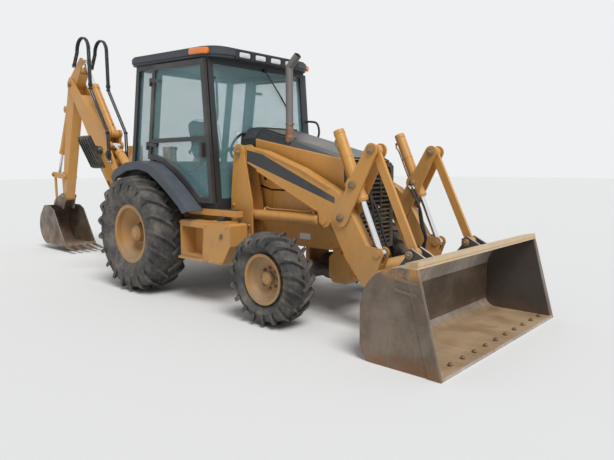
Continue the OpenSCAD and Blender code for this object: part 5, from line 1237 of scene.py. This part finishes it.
class MACHINE_OT_body(bpy.types.Operator):
    """Bolts on the frame and boxes, step treads, the stack's foot and clamp, catches and caps"""

    bl_idname = "machine.body"
    bl_label = "Frame and body trim"

    def execute(self, context):
        left, up = (0, 1, 0), (0, 0, 1)
        rail = [at(x, 0.345, z) for x in (1.72, 1.86, 2.3, 2.42) for z in (0.7, 0.82)]
        rail += [at(x, 0.345, 0.76) for x in (-0.5, -0.65, -0.8)]
        tower = [at(x, 0.548, z) for x, z in ((1.29, 0.72), (1.52, 0.72), (1.29, 0.82), (1.52, 0.82), (1.29, 1.02))]
        box = ((1.2, 0.475), (1.32, 0.475), (1.42, 0.475), (1.2, 0.825), (1.52, 0.825), (0.775, 0.83), (0.775, 0.47))
        heads = both_sides(hex_heads(rail + [at(x, 0.84, z) for x, z in box], left, 0.022, 0.011))
        bolts = joined([heads, both_sides(hex_heads(tower, left, 0.026, 0.013))])
        piece("frame_bolts", bolts, "paint", "chassis", 30)
        stud = [(0.0075, 0), (0.0075, 0.0035), (0.005, 0.005), (0.003, 0.002), (0, 0.002)]
        places = [at(x, y, 0.478) for y in (0.848, 0.866) for x in np.linspace(0.79, 1.13, 12)]
        studs = joined([turned(stud, c, up, 10) for c in places])
        piece("step_treads", both_sides(studs), "steel", "chassis", 30)
        # seam of the box's door, and its catch
        door = ((1.2, 0.8), (1.5, 0.8), (1.5, 0.655), (1.4, 0.5), (1.2, 0.5))
        seam = bead(dense([at(x, 0.8405, z) for x, z in door]), 0.003, 6)
        piece("box_seam", both_sides(seam), "seal", "chassis", 50)
        rows = ((0, -0.002), (1, -0.002), (1, 0.004), (0.9, 0.008), (0, 0.008))
        bow_run = ((0.847, 0.75), (0.862, 0.745), (0.866, 0.73), (0.862, 0.715), (0.847, 0.71))
        catch = joined([
            rounded(at(1.44, 0.84, 0.73), (-1, 0, 0), up, 0.022, 0.03, rows, 4),
            line_tube(0.005, *[at(1.44, y, z) for y, z in bow_run], count=20),
        ])
        piece("box_catch", both_sides(catch), "worn_pin", "chassis", 40)
        # the stack's rusty foot, its clamp, and the tank's cap
        x, y = 1.83, -0.28
        foot = [(0.0365, 0), (0.047, 0), (0.047, 0.05), (0.0405, 0.06), (0.0405, 0.13), (0.0365, 0.132)]
        band = [(0.0365, 0), (0.041, 0.002), (0.041, 0.02), (0.0365, 0.022)]
        lug = soft_block(at(1.866, -0.291, 1.802), at(1.89, -0.269, 1.82), 0.004)
        stack = joined([turned(foot, at(x, y, 1.64), up, 40), turned(band, at(x, y, 1.8), up, 40), lug])
        piece("stack_foot", stack, "rusty", "chassis", 30)
        cap = [(0, 0), (0.05, 0), (0.05, 0.01), (0.044, 0.014), (0.044, 0.032), (0.04, 0.036), (0, 0.037)]
        piece("tank_cap", turned(cap, at(1.33, -0.74, 0.868), up, 40), "lamps", "chassis", 30)
        rows = ((0, -0.001), (1, -0.001), (1, 0.003), (0.85, 0.008), (0, 0.009))
        catches = both_sides(rounded(at(1.56, 0.355, 1.3), (-1, 0, 0), up, 0.016, 0.034, rows, 3))
        piece("hood_catches", catches, "seal", "hood", 40)
        return {"FINISHED"}


class MACHINE_OT_hoe(bpy.types.Operator):
    """Caps of the swing and stabilizer pins, bolts of the rear frame and the boom hoses' nuts"""

    bl_idname = "machine.hoe"
    bl_label = "Backhoe trim"

    def execute(self, context):
        up = (0, 0, 1)
        swing = joined([pin_end(at(-1.38, 0, 1.018), up, 0.04), pin_end(at(-1.38, 0, 0.552), (0, 0, -1), 0.04)])
        piece("swing_pin_ends", swing, "worn_pin", "chassis", 30)
        leg = -1.06  # X of the stabilizers' middle plane
        ends = []
        for y, z in ((0.34, 0.62), (0.262, 1.62)):
            ends += [pin_end(at(leg + way * 0.08, y, z), (way, 0, 0), 0.022) for way in (-1, 1)]
        piece("stabilizer_pin_ends", both_sides(joined(ends)), "worn_pin", "chassis", 30)
        for side, sign in SIDES:
            feet = joined([pin_end(at(leg + way * 0.079, sign * 0.8, 1.62), (way, 0, 0), 0.02) for way in (-1, 1)])
            piece(f"pad_pin_ends_{side}", feet, "worn_pin", f"stabilizer_{side}", 30)
        places = [at(-1.16, y, z) for y in (-0.31, -0.27, 0.27, 0.31) for z in (0.52, 1.04)]
        piece("rear_frame_bolts", hex_heads(places, (-1, 0, 0), 0.028, 0.014), "paint", "chassis", 30)
        (fx, fz), (lx, lz) = on_boom(0.76, 0.12), on_boom(1.11, 0.404)
        way = np.array((lx - fx, 0, lz - fz)) / math.hypot(lx - fx, lz - fz)
        sleeve = [(0, -0.05), (0.0155, -0.05), (0.017, -0.045), (0.017, 0.0), (0.0155, 0.005), (0, 0.005)]
        nuts = []
        for y in (0.128, 0.158):
            nuts.append(fitting(at(fx, y, fz) - way * 0.01, way, 0.0125))
            nuts.append(turned(sleeve, at(-2.985, y, 2.99), up, 20))
        piece("boom_hose_nuts", both_sides(joined(nuts)), "nut", "boom", 35)
        return {"FINISHED"}


class MACHINE_PT_panel(bpy.types.Panel):
    """Lists the settings and the steps"""

    bl_label = "Backhoe loader"
    bl_space_type = "VIEW_3D"
    bl_region_type = "UI"
    bl_category = "Loader"

    def draw(self, context):
        for group in (context.scene.loader_looks, context.scene.loader_studio):
            for key in group.__annotations__:
                self.layout.prop(group, key)
        for step in STEPS:
            self.layout.operator(step.bl_idname)


STEPS = (
    MACHINE_OT_studio, MACHINE_OT_finishes, MACHINE_OT_tyres, MACHINE_OT_wheels, MACHINE_OT_pins, MACHINE_OT_cylinders,
    MACHINE_OT_loader, MACHINE_OT_cab, MACHINE_OT_seat, MACHINE_OT_body, MACHINE_OT_hoe,
)
CLASSES = (LoaderLooks, StudioLooks, *STEPS, MACHINE_PT_panel)


def register():
    """Adds the classes, and the settings to the scene."""
    for c in CLASSES:
        bpy.utils.register_class(c)
    bpy.types.Scene.loader_looks = bpy.props.PointerProperty(type=LoaderLooks)
    bpy.types.Scene.loader_studio = bpy.props.PointerProperty(type=StudioLooks)


def unregister():
    """Takes out what register adds."""
    del bpy.types.Scene.loader_looks
    del bpy.types.Scene.loader_studio
    for c in reversed(CLASSES):
        bpy.utils.unregister_class(c)


def main():
    """Registers the add-on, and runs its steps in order."""
    register()
    for step in STEPS:
        group, name = step.bl_idname.split(".")
        getattr(getattr(bpy.ops, group), name)()


if __name__ == "__main__":
    main()
